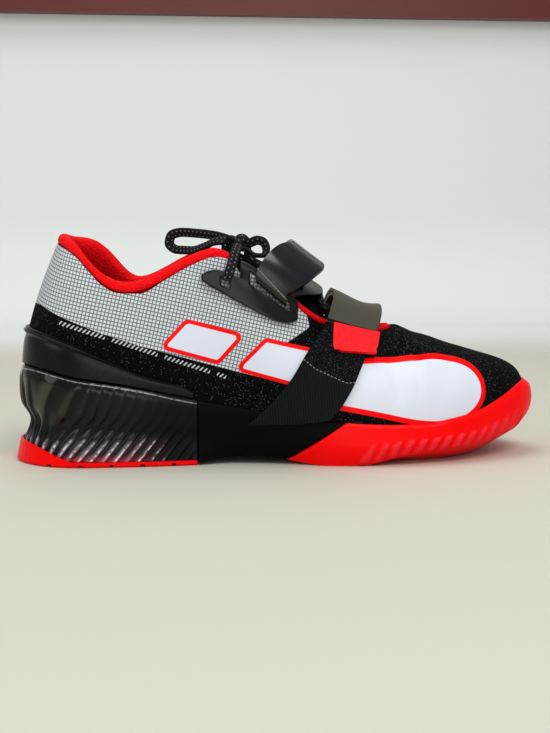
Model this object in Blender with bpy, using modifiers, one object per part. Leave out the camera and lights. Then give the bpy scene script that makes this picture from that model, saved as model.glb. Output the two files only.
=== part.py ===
"""Weightlifting shoe for the right foot, with a raised heel block and two straps.

+X runs from heel to toe, +Y to the medial side and +Z up. The origin is on the
heel plate's flat underside, at z = 0, ORIGIN_S in front of the sole's back end.
Lengths are in metres. Every table holds shares of the named sizes above it.
"""
import functools
import math

import bmesh
import bpy
import numpy as np
from mathutils import Vector

# Driving sizes
LENGTH = 0.300           # sole, from its back end to the toe bumper
BALL_WIDTH = 0.104       # sole, across the ball
HEEL_WIDTH = 0.078       # sole, across the heel plate
COLLAR_HEIGHT = 0.128    # heel tab above the floor
COLLAR_WIDTH = 0.056     # across the outside of the collar
HEEL_STACK = 0.054       # sole's rim above the floor at the heel
TOE_STACK = 0.043        # top of the toe bumper
TOE_SPRING = 0.022       # underside of the sole above the floor, at the toe
TOE_SWING = 0.004        # toe tip off the heel's centre line, to the medial side
ARCH_LIFT = 0.0045       # underside above the floor at the waist
CUP_DEPTH = 0.012        # from the rim down to the footbed
ORIGIN_S = 0.045         # heel back to the origin

# Walls and clearances
GAP = 0.0003
WALL = 0.002
LIP = 0.0013
ROLL_DROP = 0.007        # the collar roll's height on the outside
BINDING_DROP = 0.0022
COUNTER_WALL = 0.0015
COUNTER_RIDGE = 0.0028
PLATE = 0.003            # heel plate
PLATE_LIP = 0.012        # the plate's lip at the heel's back
RUBBER = 0.004
CORE_INSET = 0.008       # heel block's wall
LEDGE = 0.004            # width of the ledge that the upper stands on
UNDER_REACH = 1.1        # the underside's flat stops this many CUP_DEPTHs inside the last's plan
INSOLE = 0.004
TONGUE_WALL = 0.005
FIN_PITCH = 0.0065
FIN_DEPTH = 0.0016
BLOCK_END = 0.345        # share of LENGTH where the heel's recess in the midsole ends
BLOCK_GAP = 0.003        # share of LENGTH between the recess's end and the block and plate in it
RUBBER_START = 0.61      # share of LENGTH where the rand's top edge starts
RUBBER_LEAN = 1.35       # the rand's rear edge runs this far back for each unit down
HEEL_LUG_PITCH = 0.017
LUG_PITCH = 0.0156
GROOVE_WIDTH = 0.0022
GROOVE_DEPTH = 0.0016
RIB_PITCH = 0.0073
RIB_COUNT = 13
RIB_SIZE = (0.0042, 0.0016, 0.0062)   # along, out, up
STRAP = 0.0018
STRAP_SEAT = 0.0007      # a strap's lower face over the taut line
STRAP_LAYER_GAP = 0.0006
STRAP_ARCH = 0.014       # the upper strap's loose arch above the instep
TAB = 0.0022
RAIL = (0.0022, 0.0028)  # half width and thickness of the bars that straps turn round
FOLD_ROOM = 0.0022       # from a bar's edge to the inside of the fold round it
FOLD_FADE = (0.0045, 0.013)   # distance from a bar over which the returning layer comes down
LACE_ROOM = 0.0062       # from the tongue to the straps' lower faces, for the lace between
LACE = 0.0042
VAMP_SLOPE = -0.28       # the vamp's ridge falls this much for each unit forward
STATIONS = 68            # places round the upper

# The last's plan: share of LENGTH, then half widths as shares of HEEL_WIDTH and of BALL_WIDTH
# columns: s, lateral_heel, lateral_ball, medial_heel, medial_ball
PLAN = (
    (0.00, 0.436, 0.000, 0.436, 0.000),
    (0.12, 0.442, 0.000, 0.442, 0.000),
    (0.25, 0.436, 0.000, 0.423, 0.000),
    (0.35, 0.300, 0.092, 0.280, 0.078),
    (0.43, 0.160, 0.212, 0.140, 0.183),
    (0.52, 0.040, 0.355, 0.040, 0.316),
    (0.60, 0.000, 0.433, 0.000, 0.423),
    (0.66, 0.000, 0.447, 0.000, 0.471),
    (0.73, 0.000, 0.442, 0.000, 0.495),
    (0.80, 0.000, 0.418, 0.000, 0.481),
    (0.87, 0.000, 0.365, 0.000, 0.433),
    (0.94, 0.000, 0.308, 0.000, 0.375),
    (1.00, 0.000, 0.270, 0.000, 0.327),
)
HEEL_START, HEEL_ROUND, HEEL_POWER = 0.0233, 0.15, 2.2
TOE_END, TOE_ROUND, TOE_POWER = 0.990, 0.783, 2.4

# Heights: rim as shares of HEEL_STACK and TOE_STACK, cup of CUP_DEPTH, arch of ARCH_LIFT,
# edge (the side's lower edge) and under (the underside's middle) of TOE_SPRING
# columns: s, rim_heel, rim_toe, cup, arch, edge, under
HEIGHTS = (
    (0.00, 0.926, 0.000, 1.00, 0.00, 0.00, 0.000),
    (0.03, 1.000, 0.000, 1.33, 0.00, 0.00, 0.000),
    (0.13, 0.894, 0.000, 1.07, 0.00, 0.00, 0.000),
    (0.20, 0.833, 0.000, 1.00, 0.00, 0.00, 0.000),
    (0.28, 0.741, 0.000, 0.92, 0.00, 0.00, 0.000),
    (0.34, 0.630, 0.050, 0.90, 0.33, 0.00, 0.000),
    (0.40, 0.520, 0.115, 0.92, 1.00, 0.00, 0.000),
    (0.48, 0.390, 0.190, 0.94, 0.90, 0.00, 0.000),
    (0.54, 0.300, 0.240, 1.00, 0.25, 0.00, 0.000),
    (0.58, 0.245, 0.275, 1.00, 0.00, 0.00, 0.000),
    (0.65, 0.145, 0.360, 0.98, 0.00, 0.03, 0.000),
    (0.72, 0.060, 0.450, 0.92, 0.00, 0.23, 0.000),
    (0.79, 0.000, 0.553, 0.90, 0.00, 0.33, 0.000),
    (0.86, 0.000, 0.640, 0.96, 0.00, 0.41, 0.055),
    (0.92, 0.000, 0.790, 1.17, 0.00, 0.55, 0.250),
    (0.97, 0.000, 0.942, 1.33, 0.00, 0.70, 0.590),
    (1.00, 0.000, 1.000, 1.33, 0.00, 0.80, 1.000),
)

# The sole's side: offsets out of the last's plan, in shares of CUP_DEPTH,
# at five levels between the lower edge and the rim
SIDE_LEVELS = (0.0, 0.20, 0.42, 0.62, 0.88)
# columns: s, edge, low, waist, high, rim
SIDE = (
    (0.00, 0.54, 0.10, -0.25, 0.23, 0.30),
    (0.13, 0.46, 0.17, -0.04, 0.18, 0.30),
    (0.24, 0.42, 0.21, 0.04, 0.20, 0.28),
    (0.34, 0.29, 0.21, 0.12, 0.22, 0.27),
    (0.42, -0.08, 0.08, 0.17, 0.23, 0.25),
    (0.52, -0.08, 0.12, 0.23, 0.27, 0.25),
    (0.60, 0.08, 0.25, 0.35, 0.33, 0.25),
    (0.70, 0.12, 0.30, 0.38, 0.33, 0.25),
    (0.85, 0.08, 0.27, 0.37, 0.33, 0.25),
    (0.95, 0.00, 0.22, 0.35, 0.35, 0.25),
    (1.00, -0.33, 0.12, 0.33, 0.38, 0.27),
)

# The upper's top line, from heel tab to toe: base and top along LENGTH, half width as a share
# of half COLLAR_WIDTH, height of COLLAR_HEIGHT; medial columns where that side differs
# columns: base, top, half, height, medial_top, medial_height
TOP = (
    (0.0233, 0.0947, 0.00, 1.000, 0.0947, 1.000),
    (0.030, 0.0973, 0.25, 0.995, 0.0980, 0.996),
    (0.055, 0.107, 0.55, 0.980, 0.110, 0.985),
    (0.095, 0.127, 0.78, 0.945, 0.136, 0.980),
    (0.135, 0.150, 0.90, 0.880, 0.163, 0.952),
    (0.170, 0.175, 0.95, 0.820, 0.188, 0.900),
    (0.200, 0.203, 0.965, 0.790, 0.212, 0.825),
    (0.240, 0.240, 0.98, 0.789, 0.242, 0.790),
    (0.285, 0.287, 0.965, 0.848, 0.287, 0.846),
    (0.335, 0.337, 0.93, 0.912, 0.337, 0.910),
    (0.380, 0.382, 0.89, 0.947, 0.382, 0.945),
    (0.410, 0.408, 0.88, 0.930, 0.408, 0.930),
    (0.430, 0.427, 0.88, 0.868, 0.427, 0.868),
    (0.460, 0.452, 0.88, 0.836, 0.452, 0.832),
    (0.500, 0.490, 0.86, 0.775, 0.490, 0.770),
    (0.545, 0.532, 0.84, 0.690, 0.532, 0.690),
    (0.590, 0.572, 0.78, 0.620, 0.572, 0.625),
    (0.640, 0.620, 0.66, 0.585, 0.620, 0.590),
    (0.690, 0.668, 0.46, 0.568, 0.668, 0.570),
    (0.730, 0.705, 0.22, 0.572, 0.705, 0.572),
    (0.755, 0.730, 0.00, 0.585, 0.730, 0.585),
    (0.790, 0.757, 0.00, 0.558, 0.757, 0.558),
    (0.830, 0.790, 0.00, 0.535, 0.790, 0.535),
    (0.875, 0.823, 0.00, 0.505, 0.823, 0.505),
    (0.920, 0.848, 0.00, 0.486, 0.848, 0.486),
    (0.960, 0.868, 0.00, 0.472, 0.868, 0.472),
    (0.990, 0.873, 0.00, 0.468, 0.873, 0.468),
)
COLLAR_END = 0.412       # base share where the collar roll ends and the throat starts
THROAT_FRONT = 0.755     # base share of the throat's front
BINDING_END = 0.741      # base share where the throat's bindings end

# The wall's profile: degrees out of the vertical and handle lengths, at base and top
# columns: s, base_lean, base_pull, top_lean, top_pull
PROFILE = (
    (0.02, 8.0, 0.33, 24.0, 0.33),
    (0.17, 4.0, 0.33, 14.0, 0.33),
    (0.24, 4.0, 0.33, 10.0, 0.33),
    (0.35, 6.0, 0.33, 14.0, 0.33),
    (0.45, 8.0, 0.34, 30.0, 0.34),
    (0.55, 9.0, 0.36, 42.0, 0.36),
    (0.64, 9.0, 0.40, 58.0, 0.38),
    (0.72, 9.0, 0.44, 76.0, 0.42),
    (0.76, 8.0, 0.45, 88.0, 0.44),
    (0.85, 6.0, 0.46, 90.0, 0.44),
    (0.95, 4.0, 0.52, 90.0, 0.46),
    (0.99, 3.0, 0.55, 90.0, 0.48),
)

# The counter's raised top edge: share of LENGTH, height of HEEL_STACK
COUNTER = (
    (0.02, 1.40),
    (0.05, 1.37),
    (0.10, 1.28),
    (0.17, 1.12),
    (0.24, 0.95),
    (0.30, 0.845),
    (0.335, 0.75),
)

# The tongue's middle line: along LENGTH, height of COLLAR_HEIGHT,
# and how far its sides stay inside the throat, of half COLLAR_WIDTH
TONGUE = (
    (0.395, 0.948, 0.34),
    (0.430, 0.905, 0.26),
    (0.480, 0.855, 0.14),
    (0.530, 0.785, 0.13),
    (0.583, 0.700, 0.13),
    (0.610, 0.668, 0.13),
    (0.650, 0.618, 0.10),
    (0.680, 0.560, -0.06),
    (0.705, 0.518, -0.20),
    (0.728, 0.488, -0.28),
    (0.745, 0.472, -0.30),
)

# Straps. Angles are degrees about the section's middle, from straight up, lateral negative.
# Lower strap: angle, its rear and front edge along LENGTH, and the front edge's turn from the angle
LOWER_STRAP = (
    (-118, 0.433, 0.582, 16),
    (-102, 0.470, 0.603, 9),
    (-90, 0.490, 0.614, 4),
    (-78, 0.512, 0.628, 1),
    (-60, 0.537, 0.647, 0),
    (-45, 0.562, 0.664, 0),
    (-30, 0.586, 0.680, 0),
    (-5, 0.607, 0.700, 0),
    (20, 0.602, 0.696, 0),
    (40, 0.590, 0.682, 0),
    (60, 0.572, 0.662, 0),
)
RETURN_END = -31         # angle where the lower strap's free end meets the tab
TAB_STRAP = (
    (-53, 0.592, 0.674),
    (-44, 0.593, 0.679),
    (-32, 0.597, 0.686),
)
ANCHOR_STRAP = (
    (76, 0.575, 0.654),
    (90, 0.566, 0.650),
    (108, 0.556, 0.646),
)
# Upper strap: share of the way from the bracket's rail to its medial end, its rear and front
# edge along LENGTH, and its arch's share of STRAP_ARCH
UPPER_STRAP = (
    (0.00, 0.451, 0.507, 0.00),
    (0.08, 0.485, 0.548, 0.60),
    (0.18, 0.520, 0.580, 1.00),
    (0.28, 0.528, 0.586, 0.95),
    (0.42, 0.515, 0.575, 0.65),
    (0.60, 0.490, 0.552, 0.30),
    (0.80, 0.462, 0.525, 0.08),
    (1.00, 0.440, 0.505, 0.00),
)
UPPER_STRAP_END = 52     # angle of its medial end
UPPER_STRAP_ANCHOR = (
    (56, 0.438, 0.502),
    (75, 0.428, 0.498),
    (92, 0.420, 0.498),
)

# The bracket's lines along LENGTH, heights of COLLAR_HEIGHT: its lower edge, the lace hole's
# edges, the plate's upper edge and the rail's two edges
BRACKET_LINES = (
    (0.352, 0.793, 0.801, 0.809, 0.817, 0.850, 0.870),
    (0.370, 0.762, 0.789, 0.812, 0.838, 0.860, 0.880),
    (0.387, 0.741, 0.772, 0.806, 0.834, 0.860, 0.890),
    (0.403, 0.719, 0.752, 0.788, 0.822, 0.855, 0.890),
    (0.423, 0.692, 0.727, 0.760, 0.801, 0.836, 0.875),
    (0.441, 0.669, 0.700, 0.732, 0.772, 0.820, 0.856),
    (0.467, 0.637, 0.666, 0.695, 0.730, 0.773, 0.807),
    (0.490, 0.611, 0.637, 0.660, 0.689, 0.728, 0.759),
    (0.513, 0.603, 0.619, 0.635, 0.652, 0.687, 0.715),
    (0.529, 0.617, 0.627, 0.637, 0.650, 0.668, 0.685),
)
LACE_HOLE = (2, 1)       # its cell between those rows and lines
RAIL_FIRST_ROW = 4

# The lace's bars under the straps: along LENGTH, then lateral and medial angle
LACE_BARS = (
    (0.445, -2, 16),
    (0.490, -14, 16),
    (0.535, -17, 17),
    (0.580, -18, 18),
    (0.625, -16, 16),
)
# Routes of the lace, by hand: along the shoe, to the medial side and up
KNOT_PLACE = (0.1275, -0.0065, 0.1214)
KNOT_SIZE = (0.0062, 0.0054, 0.0042)
LOOP_BACK = (
    (0.1219, -0.0024, 0.1237), (0.1150, 0.0045, 0.1257), (0.1050, 0.0120, 0.1270),
    (0.0960, 0.0180, 0.1276), (0.0900, 0.0205, 0.1260), (0.0885, 0.0205, 0.1213),
    (0.0930, 0.0185, 0.1175), (0.1010, 0.0120, 0.1172), (0.1085, 0.0040, 0.1196),
    (0.1150, -0.0036, 0.1226), (0.1203, -0.0078, 0.1230),
)
LOOP_FRONT = (
    (0.1339, -0.0078, 0.1218), (0.1380, -0.0080, 0.1232), (0.1416, -0.0090, 0.1220),
    (0.1430, -0.0106, 0.1180), (0.1410, -0.0126, 0.1146), (0.1366, -0.0136, 0.1148),
    (0.1322, -0.0114, 0.1176),
)
RUN_LATERAL = (
    (0.1275, -0.0124, 0.1200), (0.1263, -0.0200, 0.1195), (0.1247, -0.0270, 0.1170),
    (0.1226, -0.0334, 0.1112), (0.1207, -0.0364, 0.1060), (0.1187, -0.0372, 0.1015),
)
RUN_MEDIAL = (
    (0.1290, 0.0000, 0.1216), (0.1290, 0.0080, 0.1208), (0.1286, 0.0160, 0.1190),
    (0.1280, 0.0240, 0.1165), (0.1277, 0.0302, 0.1115), (0.1277, 0.0325, 0.1050),
)


def column(table, index, share):
    """One column of a table at the share(s), by a monotone cubic."""
    rows = np.array(table, dtype=float)
    xs, ys = rows[:, 0], rows[:, index]
    step = np.diff(xs)
    slope = np.diff(ys) / step
    tangent = np.zeros_like(ys)
    tangent[0], tangent[-1] = slope[0], slope[-1]
    same = slope[:-1] * slope[1:] > 0
    with np.errstate(divide="ignore", invalid="ignore"):
        mean = 2 * slope[:-1] * slope[1:] / (slope[:-1] + slope[1:])
    tangent[1:-1] = np.where(same, mean, 0.0)
    x = np.clip(np.asarray(share, dtype=float), xs[0], xs[-1])
    i = np.clip(np.searchsorted(xs, x) - 1, 0, len(xs) - 2)
    h = step[i]
    t = (x - xs[i]) / h
    return (
        (1 + 2 * t) * (1 - t) ** 2 * ys[i]
        + t * (1 - t) ** 2 * h * tangent[i]
        + t * t * (3 - 2 * t) * ys[i + 1]
        + t * t * (t - 1) * h * tangent[i + 1]
    )


def smooth(a, b, x):
    t = np.clip((np.asarray(x, dtype=float) - a) / (b - a), 0, 1)
    return t * t * (3 - 2 * t)


def unit(v):
    return v / np.maximum(np.linalg.norm(v, axis=-1, keepdims=True), 1e-12)


# The loop runs from 0 at the heel's back along the lateral side to 1 at the toe,
# and back along the medial side to 2
def fold(w):
    """The loop's parameter as a way along one side (0 to 1) and that side's sign in Y."""
    w = np.mod(np.asarray(w, dtype=float), 2.0)
    return np.where(w <= 1, w, 2 - w), np.where(w <= 1, -1.0, 1.0)


def base_share(u):
    round_ends = (1 - np.cos(np.pi * u)) / 2
    return HEEL_START + (TOE_END - HEEL_START) * (0.2 * u + 0.8 * round_ends)


WAY = np.linspace(0, 1, 2001)
WAY_SHARE = base_share(WAY)


def way_of(share):
    return np.interp(share, WAY_SHARE, WAY)


def loop_of(share, side):
    """The loop's parameter at a share of LENGTH on the lateral (-1) or medial (+1) side."""
    u = way_of(share)
    return u if side < 0 else 2 - u


def centre_line(share):
    return TOE_SWING * smooth(0.4, 1.0, share)


def base_plan(w):
    """The last's outline at its lower edge, in plan."""
    u, side = fold(w)
    share = base_share(u)
    heel_column = np.where(side < 0, column(PLAN, 1, share), column(PLAN, 3, share))
    ball_column = np.where(side < 0, column(PLAN, 2, share), column(PLAN, 4, share))
    half = heel_column * HEEL_WIDTH + ball_column * BALL_WIDTH
    heel = np.clip((HEEL_ROUND - share) / (HEEL_ROUND - HEEL_START), 0, 1)
    toe = np.clip((share - TOE_ROUND) / (TOE_END - TOE_ROUND), 0, 1)
    half = half * np.sqrt(1 - heel ** HEEL_POWER) * np.sqrt(1 - toe ** TOE_POWER)
    return np.stack([share * LENGTH, centre_line(share) + side * half], axis=-1)


def plan_normal(w):
    step = 0.004
    along = base_plan(np.asarray(w) + step) - base_plan(np.asarray(w) - step)
    return unit(np.stack([along[..., 1], -along[..., 0]], axis=-1))


def rim_height(share):
    return column(HEIGHTS, 1, share) * HEEL_STACK + column(HEIGHTS, 2, share) * TOE_STACK


def bed_height(share):
    return rim_height(share) - column(HEIGHTS, 3, share) * CUP_DEPTH


def edge_height(share):
    return column(HEIGHTS, 4, share) * ARCH_LIFT + column(HEIGHTS, 5, share) * TOE_SPRING


def under_height(share):
    return column(HEIGHTS, 4, share) * ARCH_LIFT + column(HEIGHTS, 6, share) * TOE_SPRING


def handles(w):
    """The four control points of the upper's profile at each place on the loop."""
    w = np.asarray(w, dtype=float)
    u, side = fold(w)
    share = base_share(u)
    plan = base_plan(w)
    base = np.concatenate([plan, bed_height(share)[..., None]], axis=-1)
    top_s = np.where(side < 0, column(TOP, 1, share), column(TOP, 4, share))
    height = np.where(side < 0, column(TOP, 3, share), column(TOP, 5, share))
    half = column(TOP, 2, share) * COLLAR_WIDTH / 2
    top = np.stack([top_s * LENGTH, centre_line(top_s) + side * half, height * COLLAR_HEIGHT], axis=-1)
    normal = plan_normal(w)
    reach = np.linalg.norm(top - base, axis=-1, keepdims=True)
    lean = np.radians(column(PROFILE, 1, share))[..., None]
    turn = np.radians(column(PROFILE, 3, share))[..., None]
    up = np.array([0.0, 0.0, 1.0])
    out = np.concatenate([normal, np.zeros_like(normal[..., :1])], axis=-1)
    start = base + reach * column(PROFILE, 2, share)[..., None] * (up * np.cos(lean) + out * np.sin(lean))
    fan = unit((plan - top[..., :2]) + 1e-9)
    blend = smooth(0.60, THROAT_FRONT, share)[..., None]
    away = unit((1 - blend) * normal + blend * fan)
    away = np.concatenate([away, away[..., :1] * VAMP_SLOPE * blend], axis=-1)
    end = top + reach * column(PROFILE, 4, share)[..., None] * (away * np.sin(turn) - up * np.cos(turn))
    return base, start, end, top


def wall(w, v):
    """A point of the upper's outer face: w round the loop, v from the lower edge to the top."""
    base, start, end, top = handles(w)
    v = np.asarray(v, dtype=float)[..., None]
    return (
        (1 - v) ** 3 * base
        + 3 * (1 - v) ** 2 * v * start
        + 3 * (1 - v) * v * v * end
        + v ** 3 * top
    )


def wall_frame(w, v):
    """The point, the outward normal and the direction up the wall."""
    w = np.asarray(w, dtype=float)
    v = np.asarray(v, dtype=float)
    step = 0.004
    lower, upper = np.clip(v - step, 0, 1), np.clip(v + step, 0, 1)
    rise = unit(wall(w, upper) - wall(w, lower))
    along = unit(wall(w + step, v) - wall(w - step, v))
    normal = unit(np.cross(along, rise))
    return wall(w, v), normal, rise


def level(w, height):
    """The v at which the wall reaches a height."""
    w = np.asarray(w, dtype=float)
    low, high = np.zeros_like(w), np.ones_like(w)
    for _ in range(22):
        middle = (low + high) / 2
        below = wall(w, middle)[..., 2] < height
        low, high = np.where(below, middle, low), np.where(below, high, middle)
    return (low + high) / 2


def off_wall(w, v, distance):
    point, normal, _ = wall_frame(w, v)
    return point + normal * np.asarray(distance, dtype=float)[..., None]


def sole_side(w, column_index, share_up, extra=0.0):
    """A point of the sole's side at one of its levels."""
    u, _ = fold(w)
    share = base_share(u)
    offset = column(SIDE, column_index, share) * CUP_DEPTH + extra
    low, high = edge_height(share), rim_height(share)
    plan = base_plan(w) + plan_normal(w) * np.asarray(offset)[..., None]
    height = low + (high - low) * share_up
    return np.concatenate([plan, height[..., None]], axis=-1)


def plan_point(w, offset, height):
    plan = base_plan(w) + plan_normal(w) * np.asarray(offset, dtype=float)[..., None]
    height = np.broadcast_to(height, np.shape(w))
    return np.concatenate([plan, np.asarray(height, dtype=float)[..., None]], axis=-1)


def leaned(w, height):
    """The loop's parameter moved along the side, so that cuts lean back as the rand's edge does."""
    w = np.asarray(w, dtype=float)
    u, side = fold(w)
    share = base_share(u)
    fade = 1 - smooth(0.0, 0.17, np.abs(share - RUBBER_START))
    moved = share + fade * RUBBER_LEAN * (height - rim_height(share)) / LENGTH
    u_new = way_of(moved)
    return np.where(side < 0, u_new, 2 - u_new)


def spine(w, height, height_function=None):
    """The point on the sole's middle line that a place on the loop fans from."""
    u, _ = fold(w)
    share = np.clip(base_share(u), 0.10, 0.86)
    z = height_function(share) + height if height_function else np.full_like(share, height)
    return np.stack([share * LENGTH, centre_line(share), z], axis=-1)


# Meshes
def to_world(points):
    points = np.array(points, dtype=float)
    points[..., 0] -= ORIGIN_S
    return points


def new_object(name, points, faces, material, closed=True):
    """A mesh with its seams welded and its empty faces dropped; a closed one has its normals turned out."""
    mesh = bpy.data.meshes.new(name)
    mesh.from_pydata([tuple(p) for p in to_world(points)], [], faces)
    shaped = bmesh.new()
    shaped.from_mesh(mesh)
    bmesh.ops.remove_doubles(shaped, verts=shaped.verts, dist=0.00002)
    bmesh.ops.dissolve_degenerate(shaped, edges=shaped.edges, dist=0.00001)
    if closed:
        bmesh.ops.recalc_face_normals(shaped, faces=shaped.faces)
    shaped.to_mesh(mesh)
    shaped.free()
    mesh.materials.append(material)
    mesh.shade_smooth()
    mesh.set_sharp_from_angle(angle=math.radians(40))
    part = bpy.data.objects.new(name, mesh)
    PARTS.objects.link(part)
    return part


def grid_faces(rows, columns, close_rows=False, close_columns=False):
    """Quads between the rows and columns of a grid of points."""
    faces = []
    for i in range(rows if close_rows else rows - 1):
        for j in range(columns if close_columns else columns - 1):
            a, b = i * columns + j, i * columns + (j + 1) % columns
            c, d = ((i + 1) % rows) * columns + (j + 1) % columns, ((i + 1) % rows) * columns + j
            faces.append((a, d, c, b))
    return faces


def ring_solid(name, sections, material, closed=False):
    """A solid from closed sections, an array of stations by points, with end caps or joined up."""
    stations, size = sections.shape[:2]
    faces = grid_faces(stations, size, close_rows=closed, close_columns=True)
    if not closed:
        faces.append(tuple(range(size)))
        faces.append(tuple((stations - 1) * size + j for j in range(size)))
    return new_object(name, sections.reshape(-1, 3), faces, material)


def fan_solid(name, sections, material, closed):
    """A solid from open sections that start and end on the middle line."""
    stations, size = sections.shape[:2]
    faces = grid_faces(stations, size, close_rows=closed)
    if not closed:
        last = (stations - 1) * size
        faces += [tuple(range(size)), tuple(last + j for j in range(size))]
    return new_object(name, sections.reshape(-1, 3), faces, material)


def modify(part, kind, **values):
    modifier = part.modifiers.new(kind.title(), kind)
    for key, value in values.items():
        setattr(modifier, key, value)
    return modifier


def combine(part, other, operation):
    """A Boolean that is applied at once, so that the other object can go."""
    modify(part, "BOOLEAN", object=other, operation=operation, solver="EXACT")
    graph = bpy.context.evaluated_depsgraph_get()
    mesh = bpy.data.meshes.new_from_object(part.evaluated_get(graph))
    part.modifiers.clear()
    part.data = mesh
    bpy.data.objects.remove(other)


def cutter(name, points, faces):
    mesh = bpy.data.meshes.new(name)
    mesh.from_pydata([tuple(p) for p in to_world(points)], [], faces)
    shaped = bmesh.new()
    shaped.from_mesh(mesh)
    bmesh.ops.recalc_face_normals(shaped, faces=shaped.faces)
    shaped.to_mesh(mesh)
    shaped.free()
    tool = bpy.data.objects.new(name, mesh)
    tool.hide_render = True
    tool.display_type = "WIRE"
    CUTTERS.objects.link(tool)
    return tool


BOX_FACES = ((0, 1, 3, 2), (4, 6, 7, 5), (0, 4, 5, 1), (2, 3, 7, 6), (0, 2, 6, 4), (1, 5, 7, 3))


def boxes(frames):
    """Boxes from (centre, half axes) pairs, as one list of points and faces."""
    points, faces = [], []
    for centre, axes in frames:
        first = len(points)
        for i in (-1, 1):
            for j in (-1, 1):
                for k in (-1, 1):
                    points.append(centre + i * axes[0] + j * axes[1] + k * axes[2])
        faces += [tuple(first + n for n in face) for face in BOX_FACES]
    return points, faces


def material(name, colour, roughness, metallic=0.0):
    made = bpy.data.materials.new(name)
    made.use_nodes = True
    shader = made.node_tree.nodes["Principled BSDF"]
    shader.inputs["Base Color"].default_value = (*colour, 1.0)
    shader.inputs["Roughness"].default_value = roughness
    shader.inputs["Metallic"].default_value = metallic
    made.diffuse_color = (*colour, 1.0)
    return made


def shared_ways(start, stop):
    """The upper's own stations between two ways along a side."""
    ways = np.arange(0, STATIONS // 2 + 1) * 2 / STATIONS
    return ways[(ways >= start - 1e-9) & (ways <= stop + 1e-9)]


def collar_ways():
    """The collar's stations on one side; the last one is where the roll ends."""
    return shared_ways(0, way_of(COLLAR_END) + 1 / STATIONS)


def upper():
    """The hollow upper: its outer face as an open surface, thickened inwards."""
    rows = 8
    ways = shared_ways(0, 1)
    step_at = len(collar_ways())
    step = ways[step_at - 1] + 0.004
    end = way_of(BINDING_END)
    one_side = np.sort(np.concatenate([ways, [step, end, end + 0.004]]))
    w = np.concatenate([one_side, 2 - one_side[-2:0:-1]])
    u = fold(w)[0]
    length = np.linalg.norm(wall(w, np.ones_like(w)) - wall(w, np.zeros_like(w)), axis=-1) * 1.08
    drop = np.where(u < step - 0.001, ROLL_DROP, BINDING_DROP + GAP) + GAP
    drop = np.where(u > end + 0.001, 0.0, drop)
    top = 1 - drop / length
    grid = np.stack([wall(w, top * k / rows) for k in range(rows + 1)], axis=1)
    faces = grid_faces(len(w), rows + 1, close_rows=True)
    part = new_object("upper", grid.reshape(-1, 3), faces, KNIT, closed=False)
    inside = modify(part, "SOLIDIFY", thickness=WALL, offset=-1.0, use_even_offset=True)
    inside.thickness_clamp = 0.0
    return part


def edge_strip(name, w, polygon, made_of):
    """A solid along the upper's top line: its section's points are off the wall and up it."""
    length = np.linalg.norm(wall(w, np.ones_like(w)) - wall(w, np.zeros_like(w)), axis=-1) * 1.08
    sections = []
    for off, up in polygon:
        point, normal, rise = wall_frame(w, 1 + min(up, 0.0) / length)
        sections.append(point + normal * off + rise * max(up, 0.0))
    return ring_solid(name, np.stack(sections, axis=1), made_of)


def collar_roll():
    """The padded roll over the collar's edge and the padding that hangs inside it."""
    one_side = collar_ways()
    one_side[-1] -= 0.0025
    w = np.concatenate([-one_side[::-1], one_side[1:]])
    polygon = (
        (0.0002, -ROLL_DROP), (0.0010, -0.64 * ROLL_DROP), (0.0005, -0.23 * ROLL_DROP),
        (-0.0016, 0.0), (-0.0044, -0.0005), (-0.0068, -0.0035), (-0.0072, -0.0090),
        (-0.0058, -0.0190), (-0.0040, -0.0260), (-WALL - 3 * GAP, -0.0260),
        (-WALL - 3 * GAP, -ROLL_DROP),
    )
    return edge_strip("collar_roll", w, polygon, RED_KNIT)


def throat_binding():
    """The binding along each edge of the throat, from the collar to the throat's front."""
    polygon = (
        (0.0005, -BINDING_DROP), (0.0008, -0.0010), (0.0002, 0.0002), (-0.0012, 0.0006),
        (-0.0024, 0.0000), (-0.0028, -0.0010), (-0.0026, -BINDING_DROP),
    )
    start = collar_ways()[-1] + 0.010
    end = way_of(BINDING_END)
    ways = np.concatenate([[start], shared_ways(start + 0.01, end - 0.002), [end]])
    edge_strip("throat_binding_lateral", ways, polygon, RED_KNIT)
    edge_strip("throat_binding_medial", 2 - ways, polygon, RED_KNIT)


def heel_counter():
    """The moulded counter between the sole's rim and its own raised top edge."""
    end = way_of(COUNTER[-1][0])
    one_side = np.append(shared_ways(0, end - 0.008), end)
    w = np.concatenate([-one_side[::-1], one_side[1:]])
    share = base_share(fold(w)[0])
    low = level(w, rim_height(share)) + 0.012
    high = np.maximum(level(w, column(COUNTER, 1, share) * HEEL_STACK), low + 0.02)
    sections = []
    for v, lift in ((0.0, COUNTER_WALL), (0.45, COUNTER_WALL), (0.8, COUNTER_WALL), (0.93, COUNTER_RIDGE), (1.0, 0.9 * COUNTER_WALL)):
        sections.append(off_wall(w, low + (high - low) * v, np.full_like(w, lift)))
    for v in (1.0, 0.5, 0.0):
        sections.append(off_wall(w, low + (high - low) * v, np.full_like(w, GAP)))
    return ring_solid("heel_counter", np.stack(sections, axis=1), BLACK_PLASTIC)


def cup_points(w, lip):
    """The rim's lip and the cup's inner wall at each place, from outside to inside."""
    share = base_share(fold(w)[0])
    v_rim = level(w, rim_height(share))
    return [
        off_wall(w, v_rim, np.full_like(w, lip)) - np.array([0, 0, 0.0006]),
        off_wall(w, v_rim, np.full_like(w, GAP)),
        off_wall(w, 0.5 * v_rim, np.full_like(w, GAP)),
        plan_point(w, np.full_like(w, GAP), bed_height(share) - GAP),
    ]


def plate_lip(share):
    """How far the plate's lip has risen: 1 at the heel's back and 0 along the sides."""
    lip = 1 - smooth(0.03, 0.13, share)
    return np.where(lip > 0.12, lip, 0.0)


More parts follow.
